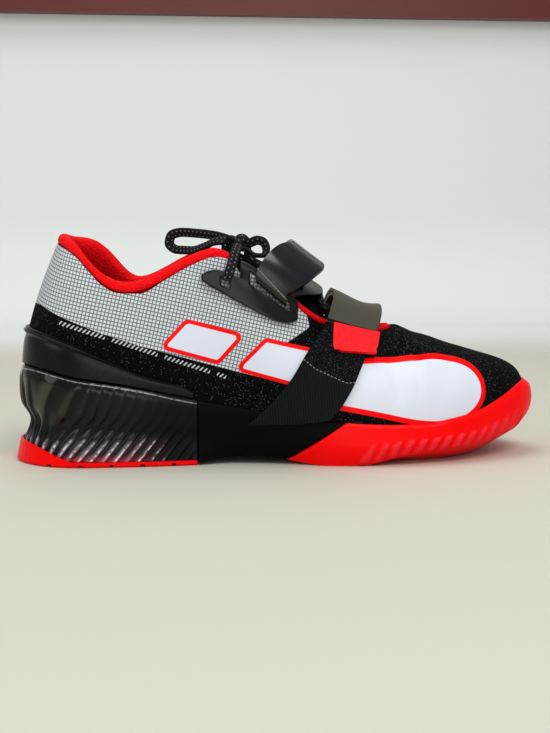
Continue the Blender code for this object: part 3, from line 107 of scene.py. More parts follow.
# Heights: rim as shares of HEEL_STACK and TOE_STACK, cup of CUP_DEPTH, arch of ARCH_LIFT,
# edge (the side's lower edge) and under (the underside's middle) of TOE_SPRING
# columns: s, rim_heel, rim_toe, cup, arch, edge, under
HEIGHTS = (
    (0.00, 0.926, 0.000, 1.00, 0.00, 0.00, 0.000),
    (0.03, 1.000, 0.000, 1.33, 0.00, 0.00, 0.000),
    (0.13, 0.894, 0.000, 1.07, 0.00, 0.00, 0.000),
    (0.20, 0.833, 0.000, 1.00, 0.00, 0.00, 0.000),
    (0.28, 0.741, 0.000, 0.92, 0.00, 0.00, 0.000),
    (0.34, 0.630, 0.050, 0.90, 0.33, 0.00, 0.000),
    (0.40, 0.520, 0.115, 0.92, 1.00, 0.00, 0.000),
    (0.48, 0.390, 0.190, 0.94, 0.90, 0.00, 0.000),
    (0.54, 0.300, 0.240, 1.00, 0.25, 0.00, 0.000),
    (0.58, 0.245, 0.275, 1.00, 0.00, 0.00, 0.000),
    (0.65, 0.145, 0.360, 0.98, 0.00, 0.03, 0.000),
    (0.72, 0.060, 0.450, 0.92, 0.00, 0.23, 0.000),
    (0.79, 0.000, 0.553, 0.90, 0.00, 0.33, 0.000),
    (0.86, 0.000, 0.640, 0.96, 0.00, 0.41, 0.055),
    (0.92, 0.000, 0.790, 1.17, 0.00, 0.55, 0.250),
    (0.97, 0.000, 0.942, 1.33, 0.00, 0.70, 0.590),
    (1.00, 0.000, 1.000, 1.33, 0.00, 0.80, 1.000),
)

# The sole's side: offsets out of the last's plan, in shares of CUP_DEPTH,
# at five levels between the lower edge and the rim
SIDE_LEVELS = (0.0, 0.20, 0.42, 0.62, 0.88)
# columns: s, edge, low, waist, high, rim
SIDE = (
    (0.00, 0.54, 0.10, -0.25, 0.23, 0.30),
    (0.13, 0.46, 0.17, -0.04, 0.18, 0.30),
    (0.24, 0.42, 0.21, 0.04, 0.20, 0.28),
    (0.34, 0.29, 0.21, 0.12, 0.22, 0.27),
    (0.42, -0.08, 0.08, 0.17, 0.23, 0.25),
    (0.52, -0.08, 0.12, 0.23, 0.27, 0.25),
    (0.60, 0.08, 0.25, 0.35, 0.33, 0.25),
    (0.70, 0.12, 0.30, 0.38, 0.33, 0.25),
    (0.85, 0.08, 0.27, 0.37, 0.33, 0.25),
    (0.95, 0.00, 0.22, 0.35, 0.35, 0.25),
    (1.00, -0.33, 0.12, 0.33, 0.38, 0.27),
)

# The upper's top line, from heel tab to toe: base and top along LENGTH, half width as a share
# of half COLLAR_WIDTH, height of COLLAR_HEIGHT; medial columns where that side differs
# columns: base, top, half, height, medial_top, medial_height
TOP = (
    (0.0233, 0.0947, 0.00, 1.000, 0.0947, 1.000),
    (0.030, 0.0973, 0.25, 0.995, 0.0980, 0.996),
    (0.055, 0.107, 0.55, 0.980, 0.110, 0.985),
    (0.095, 0.127, 0.78, 0.945, 0.136, 0.980),
    (0.135, 0.150, 0.90, 0.880, 0.163, 0.952),
    (0.170, 0.175, 0.95, 0.820, 0.188, 0.900),
    (0.200, 0.203, 0.965, 0.790, 0.212, 0.825),
    (0.240, 0.240, 0.98, 0.789, 0.242, 0.790),
    (0.285, 0.287, 0.965, 0.848, 0.287, 0.846),
    (0.335, 0.337, 0.93, 0.912, 0.337, 0.910),
    (0.380, 0.382, 0.89, 0.947, 0.382, 0.945),
    (0.410, 0.408, 0.88, 0.930, 0.408, 0.930),
    (0.430, 0.427, 0.88, 0.868, 0.427, 0.868),
    (0.460, 0.452, 0.88, 0.836, 0.452, 0.832),
    (0.500, 0.490, 0.86, 0.775, 0.490, 0.770),
    (0.545, 0.532, 0.84, 0.690, 0.532, 0.690),
    (0.590, 0.572, 0.78, 0.620, 0.572, 0.625),
    (0.640, 0.620, 0.66, 0.585, 0.620, 0.590),
    (0.690, 0.668, 0.46, 0.568, 0.668, 0.570),
    (0.730, 0.705, 0.22, 0.572, 0.705, 0.572),
    (0.755, 0.730, 0.00, 0.585, 0.730, 0.585),
    (0.790, 0.757, 0.00, 0.558, 0.757, 0.558),
    (0.830, 0.790, 0.00, 0.535, 0.790, 0.535),
    (0.875, 0.823, 0.00, 0.505, 0.823, 0.505),
    (0.920, 0.848, 0.00, 0.486, 0.848, 0.486),
    (0.960, 0.868, 0.00, 0.472, 0.868, 0.472),
    (0.990, 0.873, 0.00, 0.468, 0.873, 0.468),
)
COLLAR_END = 0.412       # base share where the collar roll ends and the throat starts
THROAT_FRONT = 0.755     # base share of the throat's front
BINDING_END = 0.741      # base share where the throat's bindings end

# The wall's profile: degrees out of the vertical and handle lengths, at base and top
# columns: s, base_lean, base_pull, top_lean, top_pull
PROFILE = (
    (0.02, 8.0, 0.33, 24.0, 0.33),
    (0.17, 4.0, 0.33, 14.0, 0.33),
    (0.24, 4.0, 0.33, 10.0, 0.33),
    (0.35, 6.0, 0.33, 14.0, 0.33),
    (0.45, 8.0, 0.34, 30.0, 0.34),
    (0.55, 9.0, 0.36, 42.0, 0.36),
    (0.64, 9.0, 0.40, 58.0, 0.38),
    (0.72, 9.0, 0.44, 76.0, 0.42),
    (0.76, 8.0, 0.45, 88.0, 0.44),
    (0.85, 6.0, 0.46, 90.0, 0.44),
    (0.95, 4.0, 0.52, 90.0, 0.46),
    (0.99, 3.0, 0.55, 90.0, 0.48),
)

# The counter's raised top edge: share of LENGTH, height of HEEL_STACK
COUNTER = (
    (0.02, 1.40),
    (0.05, 1.37),
    (0.10, 1.28),
    (0.17, 1.12),
    (0.24, 0.95),
    (0.30, 0.845),
    (0.335, 0.75),
)

# Routes of the lace: along the shoe, to the medial side and up
KNOT_PLACE = (0.1275, -0.0065, 0.1214)
KNOT_SIZE = (0.0062, 0.0054, 0.0042)
LOOP_BACK = (
    (0.1219, -0.0024, 0.1237), (0.1150, 0.0045, 0.1257), (0.1050, 0.0120, 0.1270),
    (0.0960, 0.0180, 0.1276), (0.0900, 0.0205, 0.1260), (0.0885, 0.0205, 0.1213),
    (0.0930, 0.0185, 0.1175), (0.1010, 0.0120, 0.1172), (0.1085, 0.0040, 0.1196),
    (0.1150, -0.0036, 0.1226), (0.1203, -0.0078, 0.1230),
)
LOOP_FRONT = (
    (0.1339, -0.0078, 0.1218), (0.1380, -0.0080, 0.1232), (0.1416, -0.0090, 0.1220),
    (0.1430, -0.0106, 0.1180), (0.1410, -0.0126, 0.1146), (0.1366, -0.0136, 0.1148),
    (0.1322, -0.0114, 0.1176),
)
RUN_LATERAL = (
    (0.1275, -0.0124, 0.1200), (0.1263, -0.0200, 0.1195), (0.1247, -0.0270, 0.1170),
    (0.1226, -0.0334, 0.1112), (0.1207, -0.0364, 0.1060), (0.1187, -0.0372, 0.1015),
)
RUN_MEDIAL = (
    (0.1290, 0.0000, 0.1216), (0.1290, 0.0080, 0.1208), (0.1286, 0.0160, 0.1190),
    (0.1280, 0.0240, 0.1165), (0.1277, 0.0302, 0.1115), (0.1277, 0.0325, 0.1050),
)


def cubic(t, start, leave, end, arrive):
    """A cubic from start to end, by its slopes at both."""
    return (
        (1 + 2 * t) * (1 - t) ** 2 * start + t * (1 - t) ** 2 * leave
        + t * t * (3 - 2 * t) * end + t * t * (t - 1) * arrive
    )


def column(table, index, share):
    """One column of a table at the share(s), by a monotone cubic."""
    rows = np.array(table, dtype=float)
    xs, ys = rows[:, 0], rows[:, index]
    step = np.diff(xs)
    slope = np.diff(ys) / step
    tangent = np.zeros_like(ys)
    tangent[0], tangent[-1] = slope[0], slope[-1]
    same = slope[:-1] * slope[1:] > 0
    with np.errstate(divide="ignore", invalid="ignore"):
        mean = 2 * slope[:-1] * slope[1:] / (slope[:-1] + slope[1:])
    tangent[1:-1] = np.where(same, mean, 0.0)
    x = np.clip(np.asarray(share, dtype=float), xs[0], xs[-1])
    i = np.clip(np.searchsorted(xs, x) - 1, 0, len(xs) - 2)
    h = step[i]
    t = (x - xs[i]) / h
    return cubic(t, ys[i], h * tangent[i], ys[i + 1], h * tangent[i + 1])


def smooth(a, b, x):
    t = np.clip((np.asarray(x, dtype=float) - a) / (b - a), 0, 1)
    return t * t * (3 - 2 * t)


def unit(v):
    return v / np.maximum(np.linalg.norm(v, axis=-1, keepdims=True), 1e-12)


def walked(line):
    """How far along a line each of its points is."""
    return np.concatenate([[0], np.cumsum(np.linalg.norm(np.diff(line, axis=0), axis=1))])


# The loop runs from 0 at the heel's back along the lateral side to 1 at the toe,
# and back along the medial side to 2
def fold(w):
    """The loop's parameter as a way along one side (0 to 1) and that side's sign in Y."""
    w = np.mod(np.asarray(w, dtype=float), 2.0)
    return np.where(w <= 1, w, 2 - w), np.where(w <= 1, -1.0, 1.0)


def base_share(u):
    round_ends = (1 - np.cos(np.pi * u)) / 2
    return HEEL_START + (TOE_END - HEEL_START) * (0.2 * u + 0.8 * round_ends)


def share_at(w):
    """The share of LENGTH at a place on the loop."""
    return base_share(fold(w)[0])


WAY = np.linspace(0, 1, 2001)
WAY_SHARE = base_share(WAY)


def way_of(share):
    return np.interp(share, WAY_SHARE, WAY)


def centre_line(share):
    return TOE_SWING * smooth(0.4, 1.0, share)


def sided(table, lateral, medial, share, side):
    """A table's column for the side that each place is on."""
    return np.where(side < 0, column(table, lateral, share), column(table, medial, share))


def base_plan(w):
    """The last's outline at its lower edge, in plan."""
    u, side = fold(w)
    share = base_share(u)
    half = sided(PLAN, 1, 3, share, side) * HEEL_WIDTH + sided(PLAN, 2, 4, share, side) * BALL_WIDTH
    heel = np.clip((HEEL_ROUND - share) / (HEEL_ROUND - HEEL_START), 0, 1)
    toe = np.clip((share - TOE_ROUND) / (TOE_END - TOE_ROUND), 0, 1)
    half = half * np.sqrt(1 - heel ** HEEL_POWER) * np.sqrt(1 - toe ** TOE_POWER)
    return np.stack([share * LENGTH, centre_line(share) + side * half], axis=-1)


def plan_normal(w):
    along = base_plan(np.asarray(w) + STEP) - base_plan(np.asarray(w) - STEP)
    return unit(np.stack([along[..., 1], -along[..., 0]], axis=-1))


def rim_height(share):
    return column(HEIGHTS, 1, share) * HEEL_STACK + column(HEIGHTS, 2, share) * TOE_STACK


def bed_height(share):
    return rim_height(share) - column(HEIGHTS, 3, share) * CUP_DEPTH


def edge_height(share):
    return column(HEIGHTS, 4, share) * ARCH_LIFT + column(HEIGHTS, 5, share) * TOE_SPRING


def under_height(share):
    return column(HEIGHTS, 4, share) * ARCH_LIFT + column(HEIGHTS, 6, share) * TOE_SPRING


def handles(w):
    """The four control points of the upper's profile at each place on the loop."""
    w = np.asarray(w, dtype=float)
    u, side = fold(w)
    share = base_share(u)
    plan = base_plan(w)
    base = np.concatenate([plan, bed_height(share)[..., None]], axis=-1)
    top_s, height = sided(TOP, 1, 4, share, side), sided(TOP, 3, 5, share, side)
    half = column(TOP, 2, share) * COLLAR_WIDTH / 2
    top = np.stack([top_s * LENGTH, centre_line(top_s) + side * half, height * COLLAR_HEIGHT], axis=-1)
    normal = plan_normal(w)
    reach = np.linalg.norm(top - base, axis=-1, keepdims=True)
    base_lean, base_pull, top_lean, top_pull = (
        column(PROFILE, k, share)[..., None] for k in (1, 2, 3, 4)
    )
    lean, turn = np.radians(base_lean), np.radians(top_lean)
    up = np.array([0.0, 0.0, 1.0])
    out = np.concatenate([normal, np.zeros_like(normal[..., :1])], axis=-1)
    start = base + reach * base_pull * (up * np.cos(lean) + out * np.sin(lean))
    fan = unit((plan - top[..., :2]) + 1e-9)
    blend = smooth(0.60, THROAT_FRONT, share)[..., None]
    away = unit((1 - blend) * normal + blend * fan)
    away = np.concatenate([away, away[..., :1] * VAMP_SLOPE * blend], axis=-1)
    end = top + reach * top_pull * (away * np.sin(turn) - up * np.cos(turn))
    return base, start, end, top


def wall(w, v):
    """A point of the upper's outer face: w round the loop, v from the lower edge to the top."""
    base, start, end, top = handles(w)
    v = np.asarray(v, dtype=float)[..., None]
    return (1 - v) ** 3 * base + 3 * (1 - v) ** 2 * v * start + 3 * (1 - v) * v * v * end + v ** 3 * top


def level(w, height):
    """The v at which the wall reaches a height."""
    w = np.asarray(w, dtype=float)
    low, high = np.zeros_like(w), np.ones_like(w)
    for _ in range(HALVINGS):
        middle = (low + high) / 2
        below = wall(w, middle)[..., 2] < height
        low, high = np.where(below, middle, low), np.where(below, high, middle)
    return (low + high) / 2


def off_wall(w, v, distance):
    """A point of the wall, moved along the outward normal."""
    w, v = np.asarray(w, dtype=float), np.asarray(v, dtype=float)
    rise = wall(w, np.clip(v + STEP, 0, 1)) - wall(w, np.clip(v - STEP, 0, 1))
    normal = unit(np.cross(unit(wall(w + STEP, v) - wall(w - STEP, v)), unit(rise)))
    return wall(w, v) + normal * np.asarray(distance, dtype=float)[..., None]


def plan_point(w, offset, height):
    plan = base_plan(w) + plan_normal(w) * np.asarray(offset, dtype=float)[..., None]
    height = np.broadcast_to(height, np.shape(w))
    return np.concatenate([plan, np.asarray(height, dtype=float)[..., None]], axis=-1)


def leaned(w, height):
    """The loop's parameter moved along the side, so that cuts lean back as the rand's edge does."""
    w = np.asarray(w, dtype=float)
    u, side = fold(w)
    share = base_share(u)
    fade = 1 - smooth(0.0, 0.17, np.abs(share - RUBBER_START))
    moved = share + fade * RUBBER_LEAN * (height - rim_height(share)) / LENGTH
    u_new = way_of(moved)
    return np.where(side < 0, u_new, 2 - u_new)


def to_world(points):
    points = np.array(points, dtype=float)
    points[..., 0] -= ORIGIN_S
    return points


def cup_points(w, lip):
    """The rim's lip and the cup's inner wall at each place, from outside to inside."""
    share = share_at(w)
    v_rim = level(w, rim_height(share))
    return [
        off_wall(w, v_rim, lip) - np.array([0, 0, 0.0006]),
        off_wall(w, v_rim, GAP),
        off_wall(w, 0.5 * v_rim, GAP),
        plan_point(w, GAP, bed_height(share) - GAP),
    ]


def block_foot(share):
    """The block's outline on the plate, which steps in behind the lip."""
    behind = 1 - smooth(0.12, 0.18, share)
    return column(SIDE, 1, share) * CUP_DEPTH - 0.0004 - behind * (LIP + GAP + FIN_DEPTH / 2)


def under_point(w, offset):
    """A point of the underside, off the last's plan, at the height of its own place."""
    point = plan_point(w, offset, 0.0)
    point[..., 2] = under_height(point[..., 0] / LENGTH)
    return point


def rubber_floor(w):
    """The top of the rubber at the ledge's inner edge, over the underside's slope there."""
    share = share_at(w)
    flat = UNDER_REACH * CUP_DEPTH
    inner = under_point(w, -flat)[..., 2]
    climb = (flat - LEDGE) / (flat + column(SIDE, 1, share) * CUP_DEPTH)
    slope = inner + (edge_height(share) - inner) * climb
    return np.minimum(slope + 0.65 * RUBBER, bed_height(share) - 0.0022)


def leaned_spine(w, height):
    """The sole's middle line that the underside's sections fan from, a height over the underside."""
    place = np.clip(share_at(leaned(w, under_height(share_at(w)) + height)), 0.10, 0.86)
    return np.stack([place * LENGTH, centre_line(place), under_height(place) + height], axis=-1)


# Meshes
MM = 0.001
WELD, SLIVER = 0.00002, 0.00001
SCENE = bpy.context.scene
PIECES = bpy.data.collections.new("dressed_shoe")
SCENE.collection.children.link(PIECES)


def new_object(name, data, group=PIECES):
    made = bpy.data.objects.new(name, data)
    group.objects.link(made)
    return made


def new_mesh(name, points, faces):
    mesh = bpy.data.meshes.new(name)
    mesh.from_pydata([tuple(p) for p in points], [], faces)
    return mesh


def new_piece(name, points, faces, made_of, sharp=40.0):
    """A welded mesh piece with its normals turned out and its hard edges kept hard."""
    mesh = new_mesh(name, points, faces)
    shaped = bmesh.new()
    shaped.from_mesh(mesh)
    bmesh.ops.remove_doubles(shaped, verts=shaped.verts, dist=WELD)
    bmesh.ops.dissolve_degenerate(shaped, edges=shaped.edges, dist=SLIVER)
    bmesh.ops.recalc_face_normals(shaped, faces=shaped.faces)
    shaped.to_mesh(mesh)
    shaped.free()
    mesh.materials.append(made_of)
    mesh.shade_smooth()
    mesh.set_sharp_from_angle(angle=math.radians(sharp))
    return new_object(name, mesh)


def grid_faces(rows, columns, close_rows=False, close_columns=False):
    """Quads between the rows and columns of a grid of points."""
    return [
        (i * columns + j, over * columns + j, over * columns + beside, i * columns + beside)
        for i, over in ((i, (i + 1) % rows) for i in range(rows if close_rows else rows - 1))
        for j, beside in ((j, (j + 1) % columns) for j in range(columns if close_columns else columns - 1))
    ]


def ring_piece(name, sections, made_of, sharp=40.0, fan=False, closed=False):
    """A piece from sections along it, with end caps unless it is closed round."""
    stations, size = sections.shape[:2]
    faces = grid_faces(stations, size, close_rows=closed, close_columns=not fan)
    if not closed:
        last = (stations - 1) * size
        faces += [list(range(size)), [last + j for j in range(size)]]
    return new_piece(name, to_world(sections.reshape(-1, 3)), faces, made_of, sharp)


def settle(made):
    """The piece's modifiers applied, so that it is a plain mesh."""
    graph = bpy.context.evaluated_depsgraph_get()
    mesh = bpy.data.meshes.new_from_object(made.evaluated_get(graph))
    mesh.name = made.name
    made.modifiers.clear()
    made.data = mesh
    return made


def modify(made, kind, **values):
    modifier = made.modifiers.new(kind.title(), kind)
    for key, value in values.items():
        setattr(modifier, key, value)
    return modifier


def skin(node, name, made_of, levels=2, hard=48.0, bevel=0.0, sharp=180.0):
    """A smooth copy of a CAD node: welded, its triangles joined, and subdivided between hard edges."""
    shaped = bmesh.new()
    shaped.from_mesh(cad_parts[node].data)
    bmesh.ops.remove_doubles(shaped, verts=shaped.verts, dist=0.00003)
    bmesh.ops.join_triangles(
        shaped, faces=shaped.faces, angle_face_threshold=math.radians(35),
        angle_shape_threshold=math.radians(70),
    )
    bmesh.ops.recalc_face_normals(shaped, faces=shaped.faces)
    rough = bpy.data.meshes.new(name)
    shaped.to_mesh(rough)
    clean = new_mesh(name, [v.co for v in rough.vertices], [tuple(p.vertices) for p in rough.polygons])
    if not bevel:
        crease = clean.attributes.new("crease_edge", "FLOAT", "EDGE")
        place = {tuple(sorted(e.vertices)): e.index for e in clean.edges}
        for edge in shaped.edges:
            if len(edge.link_faces) == 2 and edge.calc_face_angle() > math.radians(hard):
                key = tuple(sorted(v.index for v in edge.verts))
                crease.data[place[key]].value = 1.0
    shaped.free()
    bpy.data.meshes.remove(rough)
    made = new_object(name, clean)
    if bevel:
        modify(
            made, "BEVEL", width=bevel, segments=2, limit_method="ANGLE",
            angle_limit=math.radians(hard), use_clamp_overlap=True,
        )
    modify(made, "SUBSURF", levels=levels, render_levels=levels)
    settle(made)
    made.data.materials.clear()
    made.data.materials.append(made_of)
    made.data.shade_smooth()
    if sharp < 180.0:
        made.data.set_sharp_from_angle(angle=math.radians(sharp))
    return made


def places(made):
    """A piece's points in millimetres: along the shoe from the heel's back, across and up."""
    co = np.zeros(len(made.data.vertices) * 3)
    made.data.vertices.foreach_get("co", co)
    co = co.reshape(-1, 3)
    co[:, 0] += ORIGIN_S
    return co / MM


def normals(made):
    found = np.zeros(len(made.data.vertices) * 3)
    made.data.vertices.foreach_get("normal", found)
    return found.reshape(-1, 3)


def move(made, amounts):
    """Moves a piece's points along their normals."""
    co = places(made) * MM
    co[:, 0] -= ORIGIN_S
    co += normals(made) * np.asarray(amounts)[:, None]
    made.data.vertices.foreach_set("co", co.ravel())
    made.data.update()


def keep(made, name, values):
    """A value or vector for each point, which the materials read."""
    values = np.asarray(values, dtype=float)
    kind = "FLOAT" if values.ndim == 1 else "FLOAT_VECTOR"
    layer = made.data.attributes.new(name, kind, "POINT")
    layer.data.foreach_set("value" if values.ndim == 1 else "vector", values.ravel())


def waves(points, size, seed, octaves=3):
    """Smooth numbers between about -1 and 1 that vary over points in millimetres."""
    draw = np.random.default_rng(seed)
    total = np.zeros(len(points))
    for octave in range(octaves):
        for _ in range(5):
            way = unit(draw.normal(size=3))
            total += np.sin(points @ way * (2 ** octave) * 6.28 / size + draw.uniform(0, 6.28)) / 2 ** octave
    return total / 5


def finished(made, slot, *nodes, pad=None):
    """Ties a piece to the frame's root, and hides the CAD nodes that it stands for; the slot is not used."""
    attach(made, "root")
    if nodes:
        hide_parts(*nodes)
    return made


def side_offset(share, t):
    """The sole's side at a height share, as an offset out of the last's plan."""
    levels = np.array(SIDE_LEVELS)
    table = np.stack([column(SIDE, k, share) for k in range(1, 6)]) * CUP_DEPTH
    slopes = np.gradient(table, levels, axis=0)
    i = int(np.clip(np.searchsorted(levels, t) - 1, 0, 3))
    h = levels[i + 1] - levels[i]
    return cubic((t - levels[i]) / h, table[i], h * slopes[i], table[i + 1], h * slopes[i + 1])


def run_along(w):
    """How far each place is from the heel's back round the last, on its own side."""
    dense = np.linspace(0, 1, 1501)
    return np.interp(fold(w)[0], dense, walked(base_plan(dense)))


# Nodes
def tint(red, green, blue):
    """A colour by its screen values from 0 to 255."""
    shares = [c / 255 for c in (red, green, blue)]
    return tuple(c / 12.92 if c <= 0.04045 else ((c + 0.055) / 1.055) ** 2.4 for c in shares) + (1.0,)


WEB_WAY, WEB_PITCH = (0.995, 0.0, 0.10), 1.5   # across the ribs of the webbing, in millimetres


class Nodes:
    """The nodes of a material or group. Each call adds one and gives its output."""

    def __init__(self, tree):
        self.tree = tree

    def add(self, kind, inputs=(), out=0, **settings):
        node = self.tree.nodes.new(kind)
        for key, value in settings.items():
            setattr(node, key, value)
        self.join(node, inputs)
        return node.outputs[out]

    def join(self, node, inputs):
        """Links or sets a node's inputs."""
        for key, value in dict(inputs).items():
            if isinstance(value, bpy.types.NodeSocket):
                self.tree.links.new(value, node.inputs[key])
            else:
                node.inputs[key].default_value = value

    def calc(self, operation, a, b=0.0, c=0.0):
        return self.add("ShaderNodeMath", {0: a, 1: b, 2: c}, operation=operation)

    def times(self, a, b):
        return self.calc("MULTIPLY", a, b)

    def step(self, value, low, high):
        """From 0 to 1 as the value goes from low to high."""
        inputs = {"Value": value, "From Min": low, "From Max": high}
        return self.add("ShaderNodeMapRange", inputs, interpolation_type="SMOOTHSTEP")

    def blend(self, share, a, b):
        return self.add("ShaderNodeMix", {0: share, 6: a, 7: b}, out=2, data_type="RGBA")

    def between(self, share, a, b):
        return self.add("ShaderNodeMix", {0: share, 2: a, 3: b}, data_type="FLOAT")

    def place(self):
        """The point in millimetres from the object's origin."""
        here = self.add("ShaderNodeTexCoord", out="Object")
        return self.add("ShaderNodeVectorMath", {0: here, "Scale": 1 / MM}, operation="SCALE")

    def along(self, point, way, start=0.0):
        """How far a point lies along a direction."""
        dot = self.add("ShaderNodeVectorMath", {0: point, 1: way}, out="Value", operation="DOT_PRODUCT")
        return self.calc("SUBTRACT", dot, start)

    def value(self, name, out="Fac"):
        return self.add("ShaderNodeAttribute", out=out, attribute_name=name)

    def zone(self, name, low, high):
        """From 0 to 1 as a kept value goes from low to high."""
        return self.step(self.value(name), low, high)

    def grain(self, fineness):
        return self.group("fine_grain", {"Coordinates": self.place(), "Fineness": fineness})

    def flecks(self, fineness, share, out="Fleck"):
        given = {"Coordinates": self.place(), "Fineness": fineness, "Share": share}
        return self.group("flecks", given, out)

    def dust(self, amount):
        return self.group("dust", {"Coordinates": self.place(), "Amount": amount})

    def beads(self, fineness):
        return self.flecks(fineness, 0.2, "Bead")

    def group(self, name, inputs, out=0):
        return self.add("ShaderNodeGroup", inputs, out, node_tree=bpy.data.node_groups[name])

    def lay(self):
        """Where a point lies along and across its cloth or braid."""
        return self.value("lay", out="Vector")

    def ribs(self, place, pitch):
        return self.group("ribbing", {"Place": place, "Pitch": pitch})

    def cross_ribs(self):
        return self.ribs(self.along(self.place(), WEB_WAY), WEB_PITCH)


FLOAT, VECTOR = "NodeSocketFloat", "NodeSocketVector"
FULL_TURN = 6.2832


def new_group(name, inputs, outputs, fill):
    """A shader group; fill gets its nodes and its inputs by name, and gives its outputs."""
    tree = bpy.data.node_groups.new(name, "ShaderNodeTree")
    for key in inputs:
        kind = VECTOR if key == "Coordinates" else FLOAT
        tree.interface.new_socket(name=key, in_out="INPUT", socket_type=kind)
    for key in outputs:
        tree.interface.new_socket(name=key, in_out="OUTPUT", socket_type=FLOAT)
    start, end = tree.nodes.new("NodeGroupInput"), tree.nodes.new("NodeGroupOutput")
    for key, socket in zip(outputs, fill(Nodes(tree), start.outputs)):
        tree.links.new(socket, end.inputs[key])


def fill_grain(n, given):
    return (n.add("ShaderNodeTexNoise", {
        "Vector": given["Coordinates"], "Scale": given["Fineness"], "Detail": 4.0, "Roughness": 0.6,
    }),)


def fill_flecks(n, given):
    cells = n.tree.nodes.new("ShaderNodeTexVoronoi")
    n.tree.links.new(given["Coordinates"], cells.inputs["Vector"])
    n.tree.links.new(given["Fineness"], cells.inputs["Scale"])
    near = n.step(cells.outputs["Distance"], 0.42, 0.2)
    chance = n.along(cells.outputs["Color"], (1.0, 0.0, 0.0))
    picked = n.calc("LESS_THAN", chance, given["Share"])
    return (n.times(near, picked), n.calc("SUBTRACT", 1.0, cells.outputs["Distance"]))


def fill_knit(n, given):
    x, y = (n.along(given["Coordinates"], way) for way in ((1.0, 0.0, 0.0), (0.0, 1.0, 0.0)))
    turn = n.calc("DIVIDE", FULL_TURN, given["Pitch"])
    row = n.calc("SINE", n.times(y, turn))
    loop = n.calc("SINE", n.calc("MULTIPLY_ADD", x, turn, n.times(row, 0.9)))
    return (n.calc("MULTIPLY_ADD", n.calc("ABSOLUTE", row), 0.5, n.times(loop, 0.5)),)


def fill_ribbing(n, given):
    turn = n.times(n.calc("DIVIDE", given["Place"], given["Pitch"]), FULL_TURN)
    return (n.calc("MULTIPLY_ADD", n.calc("COSINE", turn), 0.5, 0.5),)


def fill_square_mesh(n, given):
    masks = []
    for key in ("Along", "Up"):
        share = n.calc("FRACT", n.calc("DIVIDE", given[key], given["Pitch"]))
        off = n.times(n.calc("ABSOLUTE", n.calc("SUBTRACT", share, 0.5)), given["Pitch"])
        masks.append(n.step(off, *(n.times(given["Line"], k) for k in (0.75, 0.35))))
    return (n.calc("MAXIMUM", *masks),)


def fill_dust(n, given):
    wide, fine = (
        n.add("ShaderNodeTexNoise", {"Vector": given["Coordinates"], "Scale": scale, "Detail": 3.0})
        for scale in (0.06, 1.1)
    )
    worn = n.times(n.step(wide, 0.45, 0.75), n.step(fine, 0.4, 0.7))
    return (n.times(worn, given["Amount"]),)


new_group("fine_grain", ("Coordinates", "Fineness"), ("Grain",), fill_grain)
new_group("flecks", ("Coordinates", "Fineness", "Share"), ("Fleck", "Bead"), fill_flecks)
new_group("knit", ("Coordinates", "Pitch"), ("Height",), fill_knit)
new_group("ribbing", ("Place", "Pitch"), ("Height",), fill_ribbing)
new_group("square_mesh", ("Along", "Up", "Pitch", "Line"), ("Mask",), fill_square_mesh)
new_group("dust", ("Coordinates", "Amount"), ("Mask",), fill_dust)


def new_material(name, colour, roughness, height=None, depth=0.0002, strength=0.8, shine=0.5, **plain):
    """A material; each look is a value, or a function of its nodes that gives one."""
    made = bpy.data.materials.new(name)
    made.use_nodes = True
    shader = made.node_tree.nodes["Principled BSDF"]
    n = Nodes(made.node_tree)
    looks = {"Base Color": colour, "Roughness": roughness, "Specular IOR Level": shine}
    looks.update({key.replace("_", " "): value for key, value in plain.items()})
    if height:
        bump = {"Height": height(n), "Distance": depth, "Strength": strength}
        looks["Normal"] = n.add("ShaderNodeBump", bump)
    n.join(shader, {key: value(n) if callable(value) else value for key, value in looks.items()})
    return made


# Colours
RED, BLACK, DEEP_BLACK = tint(244, 0, 4), tint(6, 7, 8), tint(2, 2, 3)
WHITE, MESH_GREY, MESH_LINE = tint(219, 222, 232), tint(224, 229, 231), tint(50, 54, 58)
SPECK, OLIVE = tint(120, 124, 126), tint(80, 79, 68)

# Where the upper's colours change, in millimetres along the shoe and up, as seen from the side
MESH_ZONE = (
    (-20, 95), (17, 88), (29, 82), (51, 73), (72, 66), (105, 57), (132, 50), (144, 48),
    (144.6, 63.4), (165.6, 75.4), (163, 93), (163, 150), (-20, 150),
)
PANEL = (
    (170, 46.5), (200, 47.5), (220, 48.5), (238, 49.5), (253, 45.5), (256.5, 38.5), (248, 32.0),
    (229, 31.5), (200, 38.5), (170, 44.0),
)
PANEL_ROUND, PANEL_BORDER = 8.0, 3.0
BAND = ((128.8, 54.4), (141.2, 66.9), (166.0, 61.2), (160.0, 46.0))
BLOCK = ((88.0, 66.4), (98.2, 77.2), (124.0, 70.6), (113.8, 59.2))
BAND_ROUND, BAND_BORDER = 1.0, 2.2
# The row of small slanted marks, in millimetres: its start, way and length, each mark's
# pitch, slant, share of the pitch and half height, and each spell's length and share of it
MARKS_START, MARKS_WAY, MARKS_LENGTH = (28.6, 0.0, 78.9), (0.9486, 0.0, -0.3165), 95.0
MARK_PITCH, MARK_SLANT, MARK_SHARE, MARK_HALF = 2.3, -0.55, 0.42, 1.15
SPELL, SPELL_SHARE = 30.0, 0.86
MESH_PITCH, MESH_THREAD = 2.0, 0.46   # the pale mesh's squares and lines, in millimetres


def curved(outline):
    """An outline with its corners cut three times, which makes a smooth curve."""
    corners = np.array(outline, dtype=float)
    for _ in range(3):
        after = np.roll(corners, -1, axis=0)
        cuts = [0.75 * corners + 0.25 * after, 0.25 * corners + 0.75 * after]
        corners = np.stack(cuts, axis=1).reshape(-1, 2)
    return corners


